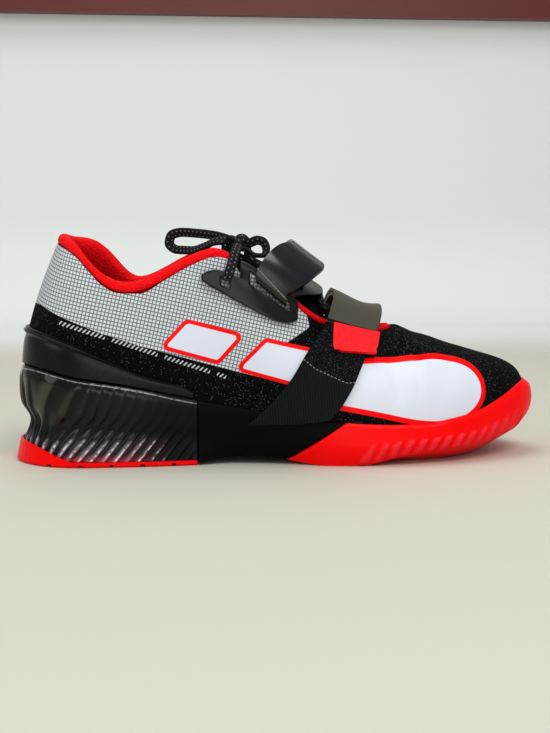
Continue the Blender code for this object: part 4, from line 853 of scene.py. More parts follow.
def outline_distance(points, outline):
    """How far points in a plane are outside an outline; inside is negative."""
    corners = np.array(outline, dtype=float)
    nearest = np.full(len(points), np.inf)
    inside = np.zeros(len(points), dtype=bool)
    for a, b in zip(corners, np.roll(corners, -1, axis=0)):
        edge, off = b - a, points - a
        t = np.clip(off @ edge / (edge @ edge), 0, 1)
        nearest = np.minimum(nearest, np.linalg.norm(off - t[:, None] * edge, axis=1))
        crosses = (a[1] > points[:, 1]) != (b[1] > points[:, 1])
        rise = np.where(abs(edge[1]) < 1e-9, 1e-9, edge[1])
        inside ^= crosses & (off[:, 0] < edge[0] * off[:, 1] / rise)
    return np.where(inside, -nearest, nearest)


def knit_bump(n):
    rows = n.group("knit", {"Coordinates": n.lay(), "Pitch": 1.0})
    return n.calc("MULTIPLY_ADD", n.beads(1.15), 0.6, n.times(rows, 0.5))


def upper_colour(n):
    """Specked black knit, pale mesh with dark lines, small slanted marks and the red and white film."""
    lay = n.lay()
    fleck = n.flecks(1.25, n.value("specks"))
    colour = n.blend(n.times(fleck, 0.62), BLACK, SPECK)
    lines = n.group("square_mesh", {
        "Along": n.along(lay, (0.974, -0.225, 0.0)), "Up": n.along(lay, (0.225, 0.974, 0.0)),
        "Pitch": MESH_PITCH, "Line": MESH_THREAD,
    })
    mesh = n.blend(n.times(lines, 0.8), n.blend(n.grain(1.2), MESH_GREY, tint(206, 211, 214)), MESH_LINE)
    colour = n.blend(n.zone("mesh_zone", 0.25, -0.25), colour, mesh)
    start, way = Vector(MARKS_START) - Vector((ORIGIN_S / MM, 0, 0)), Vector(MARKS_WAY)
    up = Vector((-way.z, 0.0, way.x))
    t, across = n.along(n.place(), way, start.dot(way)), n.along(n.place(), up, start.dot(up))
    slanted = n.calc("FRACT", n.calc("DIVIDE", n.calc("MULTIPLY_ADD", across, MARK_SLANT, t), MARK_PITCH))
    bar = n.calc("LESS_THAN", slanted, MARK_SHARE)
    tall = n.calc("LESS_THAN", n.calc("ABSOLUTE", across), MARK_HALF)
    spell = n.calc("LESS_THAN", n.calc("FRACT", n.calc("DIVIDE", t, SPELL)), SPELL_SHARE)
    ends = n.times(n.calc("GREATER_THAN", t, 0.0), n.calc("LESS_THAN", t, MARKS_LENGTH))
    marks = n.times(n.times(bar, tall), n.times(spell, ends))
    colour = n.blend(marks, colour, tint(205, 208, 208))
    colour = n.blend(n.zone("red_zone", 0.2, -0.2), colour, RED)
    return n.blend(n.zone("white_zone", 0.2, -0.2), colour, WHITE)


def upper_roughness(n):
    cloth = n.between(n.zone("mesh_zone", 0.25, -0.25), 0.9, 0.55)
    return n.between(n.zone("red_zone", 0.2, -0.2), cloth, 0.34)


def upper_height(n):
    knit = n.between(n.zone("mesh_zone", 0.25, -0.25), knit_bump(n), n.grain(2.2))
    return n.between(n.zone("red_zone", 0.5, -0.1), n.times(knit, 0.8), 1.3)


def specked(share, base=BLACK, speck=SPECK, fineness=1.2, amount=0.6):
    """A colour with small specks."""
    return lambda n: n.blend(n.times(n.flecks(fineness, share), amount), base, speck)


def grained(low, high):
    """A roughness that varies in small patches."""
    return lambda n: n.between(n.grain(1.5), low, high)


def dusted(base, dust, amount):
    """A colour with worn, dusty patches."""
    return lambda n: n.blend(n.dust(amount), base, dust)


def grain_height(fineness):
    return lambda n: n.grain(fineness)


def bead_height(fineness):
    return lambda n: n.beads(fineness)


def red_knit_colour(n):
    return n.blend(n.step(n.flecks(0.9, 0.3, "Bead"), 0.3, 0.7), tint(222, 0, 8), tint(255, 2, 10))


def rubber_colour(n):
    """Red rubber, a little dusty, with a painted highlight on the faces of its slanted ribs."""
    # painted highlight: the rib faces turn paler pink, broken up by grain
    rib_highlight = n.times(n.value("rib_face"), n.step(n.grain(1.6), 0.3, 0.62))
    base = n.blend(n.dust(0.12), tint(246, 0, 2), tint(240, 70, 80))
    return n.blend(n.times(rib_highlight, 0.5), base, tint(236, 78, 96))


def smoke_colour(n):
    """Smoky olive over black over clear pinkish fins; the paler crests and darker grooves are painted
    highlight and shade, with painted glints low down and a painted highlight line just under the lip.
    """
    high, rib = n.value("height"), n.value("crest")
    # each zone runs from its grooves to its crests: painted shade in the grooves and painted highlight on
    # the crests, over the plastic's own olive, black and pinkish tones
    top = n.blend(n.step(rib, 0.45, 1.0), tint(8, 9, 7), tint(84, 83, 68))
    top = n.blend(n.zone("run", 14.0, 62.0), top, n.blend(rib, DEEP_BLACK, tint(22, 27, 25)))
    low = n.blend(n.step(rib, 0.25, 0.95), tint(26, 15, 18), tint(132, 118, 124))
    low = n.blend(n.step(high, 7.5, 3.8), low, n.blend(rib, tint(110, 12, 26), tint(186, 92, 108)))
    low = n.blend(n.zone("run", 70.0, 98.0), low, n.blend(rib, DEEP_BLACK, tint(84, 40, 52)))
    patch, spots = n.grain(0.16), n.grain(0.5)
    # painted glints on the crests of the low fins
    glint = n.times(n.step(rib, 0.8, 0.98), n.step(spots, 0.42, 0.62))
    low = n.blend(glint, low, tint(236, 232, 236))
    level = n.calc("MULTIPLY_ADD", patch, 8.0, high)
    middle = n.blend(n.step(level, 30.0, 35.0), n.blend(rib, DEEP_BLACK, tint(12, 13, 13)), top)
    body = n.blend(n.step(level, 20.0, 15.0), middle, low)
    body = n.blend(n.zone("run", 84.0, 104.0), body, tint(3, 4, 4))
    # a thin painted highlight line just under the lip, broken into spots
    edge = n.step(n.calc("ABSOLUTE", n.calc("SUBTRACT", n.value("below_rim"), 1.1)), 0.42, 0.2)
    return n.blend(n.times(edge, n.step(spots, 0.3, 0.55)), body, tint(150, 148, 138))


def smoke_roughness(n):
    """Glassy round the back, satin towards the waist."""
    return n.between(n.zone("run", 74.0, 104.0), n.between(n.grain(1.5), 0.1, 0.22), 0.5)


def smoke_coat(n):
    return n.times(n.zone("run", 104.0, 74.0), 0.3)


def webbing_zones(n, mix, low, pile, satin):
    """Ribbed webbing low on the side, rough pile up to the tab, and a satin layer over the instep."""
    return mix(n.zone("satin", -0.2, 0.2), mix(n.zone("over_line", -0.2, 0.2), low, pile), satin)


def webbing_colour(n):
    ribs = n.cross_ribs()
    pile = n.blend(n.times(n.flecks(1.5, 0.4), 0.6), tint(12, 13, 14), tint(108, 112, 116))
    satin = n.blend(n.times(ribs, 0.15), OLIVE, tint(86, 85, 74))
    return webbing_zones(n, n.blend, n.blend(ribs, tint(3, 6, 5), tint(17, 26, 24)), pile, satin)


def webbing_height(n):
    ribs = n.cross_ribs()
    return webbing_zones(n, n.between, ribs, n.times(n.beads(1.4), 1.6), n.times(ribs, 0.015))


def webbing_roughness(n):
    return webbing_zones(n, n.between, 0.62, 0.95, 0.42)


def gloss_height(n):
    return n.calc("MULTIPLY_ADD", n.ribs(n.value("across"), 1.3), 0.5, n.grain(1.2))


def gloss_roughness(n):
    return n.between(n.ribs(n.value("across"), 1.3), 0.2, 0.28)


def lace_colour(n):
    """Black braid with two columns of white dots."""
    along, dots = n.along(n.lay(), (1, 0, 0)), 0.0
    for middle, shift in ((0.36, 0.0), (0.64, 0.5)):
        x = n.calc("SUBTRACT", n.calc("FRACT", n.calc("MULTIPLY_ADD", along, 0.36, shift)), 0.5)
        y = n.times(n.along(n.lay(), (0, 1, 0), middle), 3.4)
        off = n.calc("SQRT", n.calc("MULTIPLY_ADD", x, x, n.times(y, y)))
        dots = n.calc("MAXIMUM", n.step(off, 0.16, 0.09), dots)
    return n.blend(dots, tint(8, 8, 9), tint(158, 161, 164))


def lace_height(n):
    return n.calc("MAXIMUM", *(n.ribs(n.along(n.lay(), (1.0, lean, 0.0)), 0.9) for lean in (6.0, -6.0)))


UPPER_KNIT = new_material("upper_knit", upper_colour, upper_roughness, upper_height, 0.0005, shine=0.14)
LINING = new_material("lining_knit", specked(0.3), 0.92, bead_height(1.0), 0.0004, shine=0.2)
TONGUE_KNIT = new_material(
    "tongue_knit", specked(0.16, BLACK, tint(215, 217, 220), 0.62, 1.0), 0.9, bead_height(0.62), 0.0006,
    shine=0.2,
)
RED_KNIT = new_material(
    "red_knit", red_knit_colour, 0.72, bead_height(0.9), 0.0006, strength=0.9, shine=0.2,
)
COUNTER_PLASTIC = new_material(
    "counter_plastic", dusted(tint(5, 6, 7), tint(44, 46, 46), 0.1), grained(0.22, 0.34),
    grain_height(3.0), 0.00004, shine=0.3,
)
BRACKET_PLASTIC = new_material(
    "bracket_plastic", dusted(tint(8, 12, 14), tint(70, 76, 80), 0.08), grained(0.15, 0.24),
    grain_height(2.5), 0.00003, shine=0.34,
)
SMOKE_PLASTIC = new_material(
    "smoke_plastic", smoke_colour, smoke_roughness, grain_height(0.6), 0.00014, shine=0.2,
    Transmission_Weight=0.06, IOR=1.49, Coat_Weight=smoke_coat, Coat_Roughness=0.05,
)
RED_RUBBER = new_material(
    "red_rubber", rubber_colour, grained(0.26, 0.4), grain_height(2.2), 0.00005, shine=0.14,
)
SOLE_FOAM = new_material(
    "sole_foam", dusted(tint(1, 2, 2), tint(34, 37, 36), 0.1), grained(0.42, 0.6), grain_height(2.0),
    0.0001, shine=0.1,
)
INSOLE_CLOTH = new_material("insole_cloth", specked(0.3, tint(24, 24, 26)), 0.9, bead_height(1.3), 0.0003)
WEBBING = new_material(
    "webbing", webbing_colour, webbing_roughness, webbing_height, 0.0004, shine=0.2,
)
ANCHOR_WEBBING = new_material("anchor_webbing", tint(12, 16, 16), 0.7, Nodes.cross_ribs, 0.0004)
GLOSS_STRAP = new_material(
    "gloss_strap", tint(5, 6, 7), gloss_roughness, gloss_height, 0.00005, shine=0.3, Coat_Weight=0.6,
    Coat_Roughness=0.14,
)
TAB_RUBBER = new_material(
    "tab_rubber", specked(0.3, tint(243, 6, 22), tint(246, 92, 104), 1.4, 0.45), grained(0.4, 0.6),
    bead_height(1.4), 0.0002, shine=0.3,
)
LACE_BRAID = new_material("lace_braid", lace_colour, 0.82, lace_height, 0.0003)
THREAD = new_material("thread", tint(150, 152, 150), 0.8, grain_height(6.0), 0.00004)

# Camera
FOCAL, SENSOR, NEAREST = 59.36, 36.0, 0.01   # the first two in millimetres
CAMERA_PLACE = (0.0432, -0.6930, 0.1284)
CAMERA_TILT, CAMERA_TURN = 83.6, -5.0        # degrees
DARKEN = 0.87                                # of the dark tones, as in the photograph

lens = bpy.data.cameras.new("camera")
lens.lens, lens.sensor_width, lens.sensor_fit, lens.clip_start = FOCAL, SENSOR, "AUTO", NEAREST
camera = new_object("camera", lens, SCENE.collection)
camera.location = CAMERA_PLACE
camera.rotation_euler = (math.radians(CAMERA_TILT), 0.0, math.radians(CAMERA_TURN))
SCENE.camera = camera
SCENE.view_settings.view_transform = "Standard"
SCENE.view_settings.gamma = DARKEN


# The lace
def smooth_route(route, spacing):
    """Evenly spaced points on a smooth curve through a route."""
    route = np.array(route, dtype=float)
    walk = walked(route)
    table = np.concatenate([walk[:, None], route], axis=1)
    even = np.linspace(0, walk[-1], max(8, int(walk[-1] / spacing)))
    return np.stack([column(table, k, even) for k in (1, 2, 3)], axis=-1)


def tube(name, line, width, thick, made_of, flat_side=(0.02, 0.1, 1.0), closed=False):
    """A flattened tube along a line, with its place along and round kept for the braid."""
    line = np.array(line)
    ahead = np.roll(line, -1, axis=0) - np.roll(line, 1, axis=0) if closed else np.gradient(line, axis=0)
    along = unit(ahead)
    sides = [unit(np.cross(along[0], flat_side))]
    for direction in along:
        sides.append(unit(sides[-1] - direction * (sides[-1] @ direction)))
    sides = np.array(sides[1:])
    flats = np.cross(along, sides)
    turns = np.linspace(0, 2 * np.pi, 14, endpoint=False)
    flat = np.sign(np.sin(turns)) * np.abs(np.sin(turns)) ** 0.8
    ring = sides[:, None] * (np.cos(turns) * width / 2)[None, :, None]
    ring = ring + flats[:, None] * (flat * thick / 2)[None, :, None]
    made = ring_piece(name, line[:, None] + ring, made_of, sharp=70.0, closed=closed)
    spots = places(made) * MM
    walk = walked(line)
    near = np.linalg.norm(spots[:, None] - line[None], axis=2).argmin(axis=1)
    off = spots - line[near]
    angle = np.arctan2((off * flats[near]).sum(1) / thick, (off * sides[near]).sum(1) / width)
    step = (off * along[near]).sum(1)
    keep(made, "lay", np.stack([(walk[near] + step) / MM, np.abs(angle) / np.pi, 0 * angle], axis=1))
    return made


LACE_WIDTH, LACE_THICK, LACE_STEP = 1.32 * LACE, 0.66 * LACE, 0.0008
INTO_KNOT = ((0.1292, -0.0060, 0.1226), (0.1268, -0.0108, 0.1188))
KNOT_TURNS, KNOT_SQUEEZE = 90, (0.92, 0.92, 0.75)


def lace_knot():
    """A small wrapped knot."""
    turn = np.linspace(0, 2 * np.pi, KNOT_TURNS, endpoint=False)
    shape = np.stack([
        (np.sin(turn) + 2 * np.sin(2 * turn)) / 3,
        (np.cos(turn) - 2 * np.cos(2 * turn)) / 3,
        -np.sin(3 * turn),
    ], axis=1)
    shape *= np.array(KNOT_SIZE) * KNOT_SQUEEZE
    made = tube("knot_wraps", shape + KNOT_PLACE, 1.15 * LACE, 0.75 * LACE, LACE_BRAID, closed=True)
    return finished(made, "lace", "lace_knot")


knot = lace_knot()
for name, node, route, flat_side in (
    ("bow_loop_back", "lace_loop_back", LOOP_BACK, (0.5, 1.0, 0.35)),
    ("bow_loop_front", "lace_loop_front", (INTO_KNOT[0],) + LOOP_FRONT + (INTO_KNOT[1],), (0.4, 1.0, 0.3)),
    ("lace_end_lateral", "lace_run_lateral", RUN_LATERAL[::-1], (0.1, 1.0, 0.2)),
    ("lace_end_medial", "lace_run_medial", RUN_MEDIAL[::-1], (0.1, 1.0, 0.2)),
):
    line = smooth_route(route, LACE_STEP)
    made = finished(tube(name, line, LACE_WIDTH, LACE_THICK, LACE_BRAID, flat_side), "lace", node)
    path = to_world(line)
    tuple(path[0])


# The upper
UPPER_PLACES, UPPER_ROWS = 460, 72
CURVE_SHARE = 1.08       # the wall's curved length for each unit of its straight one
FRONT_WAVES, REAR_WAVES = 0.00022, 0.00016   # the depth of the soft waves
# Share of LENGTH, half width and depth of each crease over the toes' bend
CREASES = (
    (0.700, 0.0035, 0.0005), (0.722, 0.0045, 0.0006), (0.752, 0.0040, 0.0005), (0.790, 0.0050, 0.0004),
)


def counter_top(share):
    """The counter's top edge in millimetres, and the rim's in front of it."""
    high = column(COUNTER, 1, share) * HEEL_STACK
    return np.where(share < COUNTER[-1][0], high, rim_height(share)) / MM


def upper():
    """The hollow upper, its creases over the toes' bend, and what its colours read."""
    w = np.linspace(0, 2, UPPER_PLACES, endpoint=False)
    u = fold(w)[0]
    full = np.linalg.norm(wall(w, 1.0) - wall(w, 0.0), axis=-1) * CURVE_SHARE
    collar_end = np.floor((way_of(COLLAR_END) + 1 / STATIONS) * STATIONS / 2) * 2 / STATIONS
    drop = np.where(u < collar_end + 0.003, ROLL_DROP, BINDING_DROP + GAP) + GAP
    drop = np.where(u > way_of(BINDING_END) + 0.001, 0.0, drop)
    grid = np.stack([wall(w, (1 - drop / full) * k) for k in np.linspace(0, 1, UPPER_ROWS)], axis=1)
    faces = grid_faces(len(w), UPPER_ROWS, close_rows=True)
    mesh = new_mesh("upper_shell", to_world(grid.reshape(-1, 3)), faces)
    made = new_object("upper_shell", mesh)
    mesh.materials.append(UPPER_KNIT)
    mesh.materials.append(LINING)
    mesh.shade_smooth()
    flat = places(made)
    if (normals(made)[:, 1] * np.sign(flat[:, 1])).sum() < 0:
        mesh.flip_normals()
    x, y, z = flat.T
    wrap = np.repeat((run_along(w) - base_share(u) * LENGTH) / MM, UPPER_ROWS)
    keep(made, "lay", np.stack([x + wrap, z, 0 * x], axis=1))
    seen = flat[:, [0, 2]]
    keep(made, "mesh_zone", outline_distance(seen, MESH_ZONE))
    panel = outline_distance(seen, curved(PANEL)) - PANEL_ROUND
    bands = np.minimum(outline_distance(seen, BAND), outline_distance(seen, BLOCK)) - BAND_ROUND
    keep(made, "white_zone", np.minimum(panel, bands))
    keep(made, "red_zone", np.minimum(panel - PANEL_BORDER, bands - BAND_BORDER))
    keep(made, "specks", 0.18 + 0.25 * smooth(0, 1, waves(flat, 60, 3)))
    share = x * MM / LENGTH
    over_rim = z - rim_height(share) / MM
    lift = np.zeros(len(flat))
    for number, (place, wide, deep) in enumerate(CREASES):
        bent = place + 0.020 * np.sin(y / 14 + number) + 0.012 * np.abs(y) / 40
        lift -= deep * np.exp(-((share - bent) * LENGTH / wide) ** 2) * smooth(8, 20, over_rim)
    front = smooth(0.66, 0.72, share) * smooth(3, 15, over_rim)
    lift += FRONT_WAVES * front * waves(flat, 34, 5)
    rear = (1 - smooth(0.5, 0.6, share)) * smooth(2, 16, z - counter_top(share))
    lift += REAR_WAVES * rear * (waves(flat, 46, 8) - 0.6)
    move(made, lift)
    modify(
        made, "SOLIDIFY", thickness=WALL, offset=-1.0, use_even_offset=True, material_offset=1,
        material_offset_rim=1,
    )
    settle(made)
    return finished(made, "knit_black", "upper")


upper()


def padded_copy(node, name, made_of, slot, levels, swell, size, fill, **shape):
    """A padded piece: a smooth copy with soft lumps and a little swell."""
    made = skin(node, name, made_of, levels=levels, **shape)
    spots = places(made)
    move(made, swell * (0.35 + 0.65 * waves(spots, size, len(name))))
    keep(made, "lay", spots[:, [0, 2, 1]])
    return finished(made, slot, node, pad=fill)


padded_copy("collar_roll", "collar_padding", RED_KNIT, "knit_red", 3, 0.00016, 16, 0.7, hard=75)
padded_copy("tongue", "tongue_padding", TONGUE_KNIT, "knit_black", 3, 0.00025, 22, 0.6, hard=75)
padded_copy("insole", "insole_cushion", INSOLE_CLOTH, "foam_black", 2, 0.00005, 25, 0.8, hard=60)
for side in ("lateral", "medial"):
    node = "throat_binding_" + side
    binding = skin(node, "throat_edge_" + side, RED_KNIT, levels=3, hard=70)
    move(binding, np.full(len(binding.data.vertices), 0.0006))
    finished(binding, "knit_red", node)

# The counter from its lower edge to its top: share of its height, and millimetres off the wall
COUNTER_SECTION = (
    (0.0, 1.5), (0.2, 1.55), (0.45, 1.6), (0.62, 1.55), (0.72, 1.35), (0.76, 1.1), (0.785, 1.1),
    (0.82, 1.9), (0.86, 2.7), (0.895, 2.85), (0.92, 2.4), (0.935, 1.9), (0.95, 2.1), (0.975, 2.2),
    (0.995, 1.6), (1.0, 0.4),
)
COUNTER_FLAT = 1.5       # millimetres off the wall that stay to the counter's ends
COUNTER_PLACES = 219


def counter():
    """The moulded counter, with a groove under its raised double edge."""
    end = way_of(COUNTER[-1][0])
    w = np.linspace(-end, end, COUNTER_PLACES)
    share = share_at(w)
    low = level(w, rim_height(share)) + 0.012
    high = np.maximum(level(w, column(COUNTER, 1, share) * HEEL_STACK), low + 0.02)
    ends = 1 - smooth(end - 0.05, end, fold(w)[0])
    rows = []
    for v, lift in COUNTER_SECTION:
        raised = min(lift, COUNTER_FLAT) + max(lift - COUNTER_FLAT, 0.0) * ends
        off = raised * (0.25 + 0.75 * ends) * MM + GAP * (1 - ends)
        rows.append(off_wall(w, low + (high - low) * v, off))
    for v in (1.0, 0.5, 0.0):
        rows.append(off_wall(w, low + (high - low) * v, GAP))
    made = ring_piece("moulded_counter", np.stack(rows, axis=1), COUNTER_PLASTIC, sharp=60.0)
    return finished(made, "plastic_black", "heel_counter")


counter()


# The sole
PLACES_PER_FIN, HEEL_ROWS = 12, 34
FIN_BEND = 0.027         # the fins stand steeper above this height
FIN_LEAN = 0.85          # the fins run this far forward for each unit up
FIN_FACE = 0.7           # share of the pitch in which a fin rises
# Share of the rim's height, and the fins' depth there as a share of FIN_DEPTH
FIN_DEPTHS = ((0.0, 0.25), (0.10, 1.15), (0.35, 1.0), (0.5, 0.85), (0.7, 1.0), (0.9, 0.2), (1.0, 0.0))


def heel_cup():
    """The ring of ribs and slanted fins round the heel."""
    end = way_of(BLOCK_END - BLOCK_GAP)
    dense = np.linspace(-end, end, 1200)
    walk = walked(base_plan(dense))
    fins = int(round(walk[-1] / FIN_PITCH))
    w = np.interp(np.linspace(0, walk[-1], PLACES_PER_FIN * fins + 1), walk, dense)
    share, run = share_at(w), run_along(w)
    lean = FIN_LEAN * smooth(0.012, 0.055, run)
    rim, cup = rim_height(share), cup_points(w, LIP)
    low, high = PLATE + GAP, cup[0][:, 2]
    lip = ((cup[0][:, :2] - base_plan(w)) * plan_normal(w)).sum(axis=1)
    levels = np.stack([np.full_like(w, low), *(rim * s for s in SIDE_LEVELS[1:]), high])
    offsets = np.stack([block_foot(share), *(column(SIDE, c, share) * CUP_DEPTH for c in (2, 3, 4, 5)), lip])
    tables = np.stack([levels, offsets], axis=-1).transpose(1, 0, 2)
    outer, crests = [], []
    for z in np.linspace(low, high, HEEL_ROWS):
        t = z / rim
        offset = np.array([column(table, 1, height) for table, height in zip(tables, z)])
        slant = lean * (np.minimum(z, FIN_BEND) - 0.010 + 0.4 * np.maximum(z - FIN_BEND, 0))
        saw = np.mod((run - slant) / FIN_PITCH, 1.0)
        crest = smooth(0, 1, np.where(saw < FIN_FACE, saw / FIN_FACE, (1 - saw) / (1 - FIN_FACE)))
        depth = np.interp(t, *zip(*FIN_DEPTHS))
        faded = 1 - 0.8 * smooth(0.060, 0.105, run) * smooth(0.35, 0.6, t)
        fade = depth * faded * (1 - smooth(BLOCK_END - 0.03, BLOCK_END, share))
        outer.append(plan_point(w, offset + FIN_DEPTH * fade * (crest - 0.55), z))
        crests.append(crest * fade / np.maximum(depth, 0.3))
    core = [plan_point(w, -CORE_INSET, z) for z in (bed_height(share) - GAP, low)]
    inner = cup[1:] + core
    sections = np.stack(outer + inner, axis=1)
    made = ring_piece("heel_cup", sections, SMOKE_PLASTIC, sharp=60.0)
    flat = places(made)
    crest = np.stack(crests + [0 * w] * len(inner), axis=1).ravel()
    spots = np.round(to_world(sections.reshape(-1, 3)) * 1e5).astype(int)
    found = dict(zip(map(tuple, spots), crest))
    here = np.round((flat * MM - (ORIGIN_S, 0, 0)) * 1e5).astype(int)
    keep(made, "crest", [found.get(tuple(p), 0.5) for p in here])
    keep(made, "height", flat[:, 2])
    sweep = np.linspace(0, 1, 500)
    way = np.interp(flat[:, 0] * MM / LENGTH, base_share(sweep), sweep)
    # how far each point lies below the lip, which places the painted highlight line
    keep(made, "below_rim", cup_points(way, LIP)[0][:, 2] / MM - flat[:, 2])
    keep(made, "run", np.interp(way, sweep, run_along(sweep)) / MM)
    return finished(made, "plastic_smoke", "heel_block")


heel_cup()

RIB_START = RUBBER_START + 0.045
RIB_HEIGHT = 0.0013
RIB_LEAN = 0.55          # the ribs run this far forward for each unit up
RIB_MIDDLE = 0.31        # share of the rand's height where the first rib is at RIB_START
RAND_PLACES, RAND_ROWS, RAND_TOP = 190, 23, 0.88


def slanted_ribs(here, z, t):
    """The ribs on the rubber's side: 1 on a rib's face, and how much of the rib stands at a height."""
    middle = edge_height(here) + (rim_height(here) - edge_height(here)) * RIB_MIDDLE
    phase = ((here - RIB_START) * LENGTH - RIB_LEAN * (z - middle)) / RIB_PITCH
    face = 1 - smooth(0.22, 0.30, np.abs(np.mod(phase + 0.5, 1.0) - 0.5))
    span = smooth(0.03, 0.09, t) * (1 - smooth(0.44, 0.52, t))
    last = RIB_START + (RIB_COUNT - 0.5) * RIB_PITCH / LENGTH
    return face, span * smooth(-0.6, -0.4, phase) * (1 - smooth(last, last + 0.01, here))


def rand():
    """The rubber under the forefoot, with its toe bumper and slanted ribs."""
    one_side = np.linspace(way_of(RUBBER_START) + 0.0035, 1, RAND_PLACES)
    w = np.concatenate([one_side, 2 - one_side[-2::-1]])
    share = share_at(w)
    rim, low, bed = rim_height(share), edge_height(share), bed_height(share)
    bottom = leaned(w, low)
    low_share = share_at(bottom)
    edge = plan_point(bottom, column(SIDE, 1, low_share) * CUP_DEPTH, edge_height(low_share))
    flat = under_point(bottom, -UNDER_REACH * CUP_DEPTH)
    rows = [leaned_spine(w, 0.0), flat]
    rows += [flat + (edge - flat) * k for k in (0.3, 0.6, 0.85, 0.95)]
    for t in np.linspace(0.0, RAND_TOP, RAND_ROWS):
        at = leaned(w, low + (rim - low) * t)
        here = share_at(at)
        z = edge_height(here) + (rim_height(here) - edge_height(here)) * t
        face, span = slanted_ribs(here, z, t)
        offset = side_offset(here, t) + RIB_HEIGHT * face * span - GAP * span
        rows.append(plan_point(at, offset, z))
    rows += cup_points(w, LIP)[:2]
    half = leaned(w, (rim + bed) / 2)
    rows.append(off_wall(half, 0.5 * level(half, rim_height(share_at(half))), GAP))
    ledge, deep = leaned(w, bed), leaned(w, under_height(share) + RUBBER)
    rows += [plan_point(ledge, off, bed_height(share_at(ledge)) - GAP) for off in (GAP, -LEDGE)]
    rows += [plan_point(deep, -LEDGE, rubber_floor(deep)), leaned_spine(w, RUBBER)]
    made = ring_piece("forefoot_rand", np.stack(rows, axis=1), RED_RUBBER, sharp=55.0, fan=True)
    flat = places(made)
    here, z = np.clip(flat[:, 0] * MM / LENGTH, 0, 1), flat[:, 2] * MM
    t = (z - edge_height(here)) / np.maximum(rim_height(here) - edge_height(here), 0.001)
    face, span = slanted_ribs(here, z, t)
    # the rib faces, where the rubber's painted highlight goes
    keep(made, "rib_face", face * span)
    return finished(made, "rubber_red", "outsole_forefoot")


rand()
finished(skin("midsole", "sole_body", SOLE_FOAM, levels=2, hard=30, sharp=50), "foam_black", "midsole")
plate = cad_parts["outsole_heel"].data
plate.materials.clear()
plate.materials.append(RED_RUBBER)

# Straps and their fittings
FOOT_MIDDLE = 22.0       # millimetres over the footbed, where the satin's angle is measured
SATIN_START = 33.0       # degrees from upright, to the lateral side
STITCH_LINE = ((160.6, 58.9), (167.8, 53.3), (183.7, 46.0), (190.4, 45.9))


def lower_strap():
    """The lower strap: webbing, pile above the stitched line, and satin over the instep."""
    made = skin("strap_lower", "lower_strap", WEBBING, levels=3, hard=50, bevel=0.00045)
    flat = places(made)
    line = np.array(STITCH_LINE)
    over = flat[:, 2] - np.interp(flat[:, 0], line[:, 0], line[:, 1])
    keep(made, "over_line", np.where(flat[:, 1] > 0, -9.0, over))
    middle = bed_height(flat[:, 0] * MM / LENGTH) / MM + FOOT_MIDDLE
    angle = np.degrees(np.arctan2(flat[:, 1], flat[:, 2] - middle))
    keep(made, "satin", (angle + SATIN_START) * 0.6)
    return finished(made, "webbing", "strap_lower")


def upper_strap():
    made = skin("strap_upper", "upper_strap", GLOSS_STRAP, levels=3, hard=50, bevel=0.0004)
    flat = places(made)
    keep(made, "across", flat[:, 0] * 0.86 + flat[:, 2] * 0.5)
    return finished(made, "strap_gloss", "strap_upper")


def fitting(node, name, made_of, slot, hard, bevel):
    return finished(skin(node, name, made_of, hard=hard, bevel=bevel), slot, node)


lower_strap()
upper_strap()
fitting("strap_anchor", "strap_anchor_webbing", ANCHOR_WEBBING, "webbing", 50, 0.0004)

TAB_CORNER = 5.0         # millimetres


def pull_tab():
    """The tab that peels the lower strap, with its two lower corners rounded."""
    made = skin("strap_tab", "strap_pull_tab", TAB_RUBBER, levels=4, hard=50, bevel=0.0006)
    flat = places(made)
    low = flat[flat[:, 2] < np.quantile(flat[:, 2], 0.25)]
    slope = np.polyfit(low[:, 0], low[:, 2], 1)[0]
    ahead = unit(np.array([1.0, slope]))
    up = np.array([-ahead[1], ahead[0]])
    seen = flat[:, [0, 2]]
    x, z = seen @ ahead, seen @ up
    for direction in (-1, 1):
        inner_x = (x * direction).max() - TAB_CORNER
        inner_z = z.min() + TAB_CORNER
        off_x, off_z = x * direction - inner_x, inner_z - z
        beyond = (off_x > 0) & (off_z > 0)
        reach = np.maximum(off_x, off_z)[beyond] / np.maximum(np.hypot(off_x, off_z)[beyond], 1e-6)
        x[beyond] = direction * (inner_x + off_x[beyond] * reach)
        z[beyond] = inner_z - off_z[beyond] * reach
    moved = x[:, None] * ahead + z[:, None] * up
    flat[:, 0], flat[:, 2] = moved[:, 0], moved[:, 1]
    made.data.vertices.foreach_set("co", to_world(flat * MM).ravel())
    made.data.update()
    return finished(made, "rubber_red", "strap_tab")


pull_tab()
fitting("strap_ring", "strap_loop_ring", BRACKET_PLASTIC, "plastic_black", 40, 0.0006)
fitting("lace_bracket", "side_bracket", BRACKET_PLASTIC, "plastic_black", 40, 0.0007)
bars = skin("lace_bars", "lace_crossings", LACE_BRAID, levels=1, hard=80)
x, y, z = places(bars).T
keep(bars, "lay", np.stack([y, np.mod(z * 0.12 + x * 0.16, 1.0), 0 * x], axis=1))
finished(bars, "lace", "lace_bars")


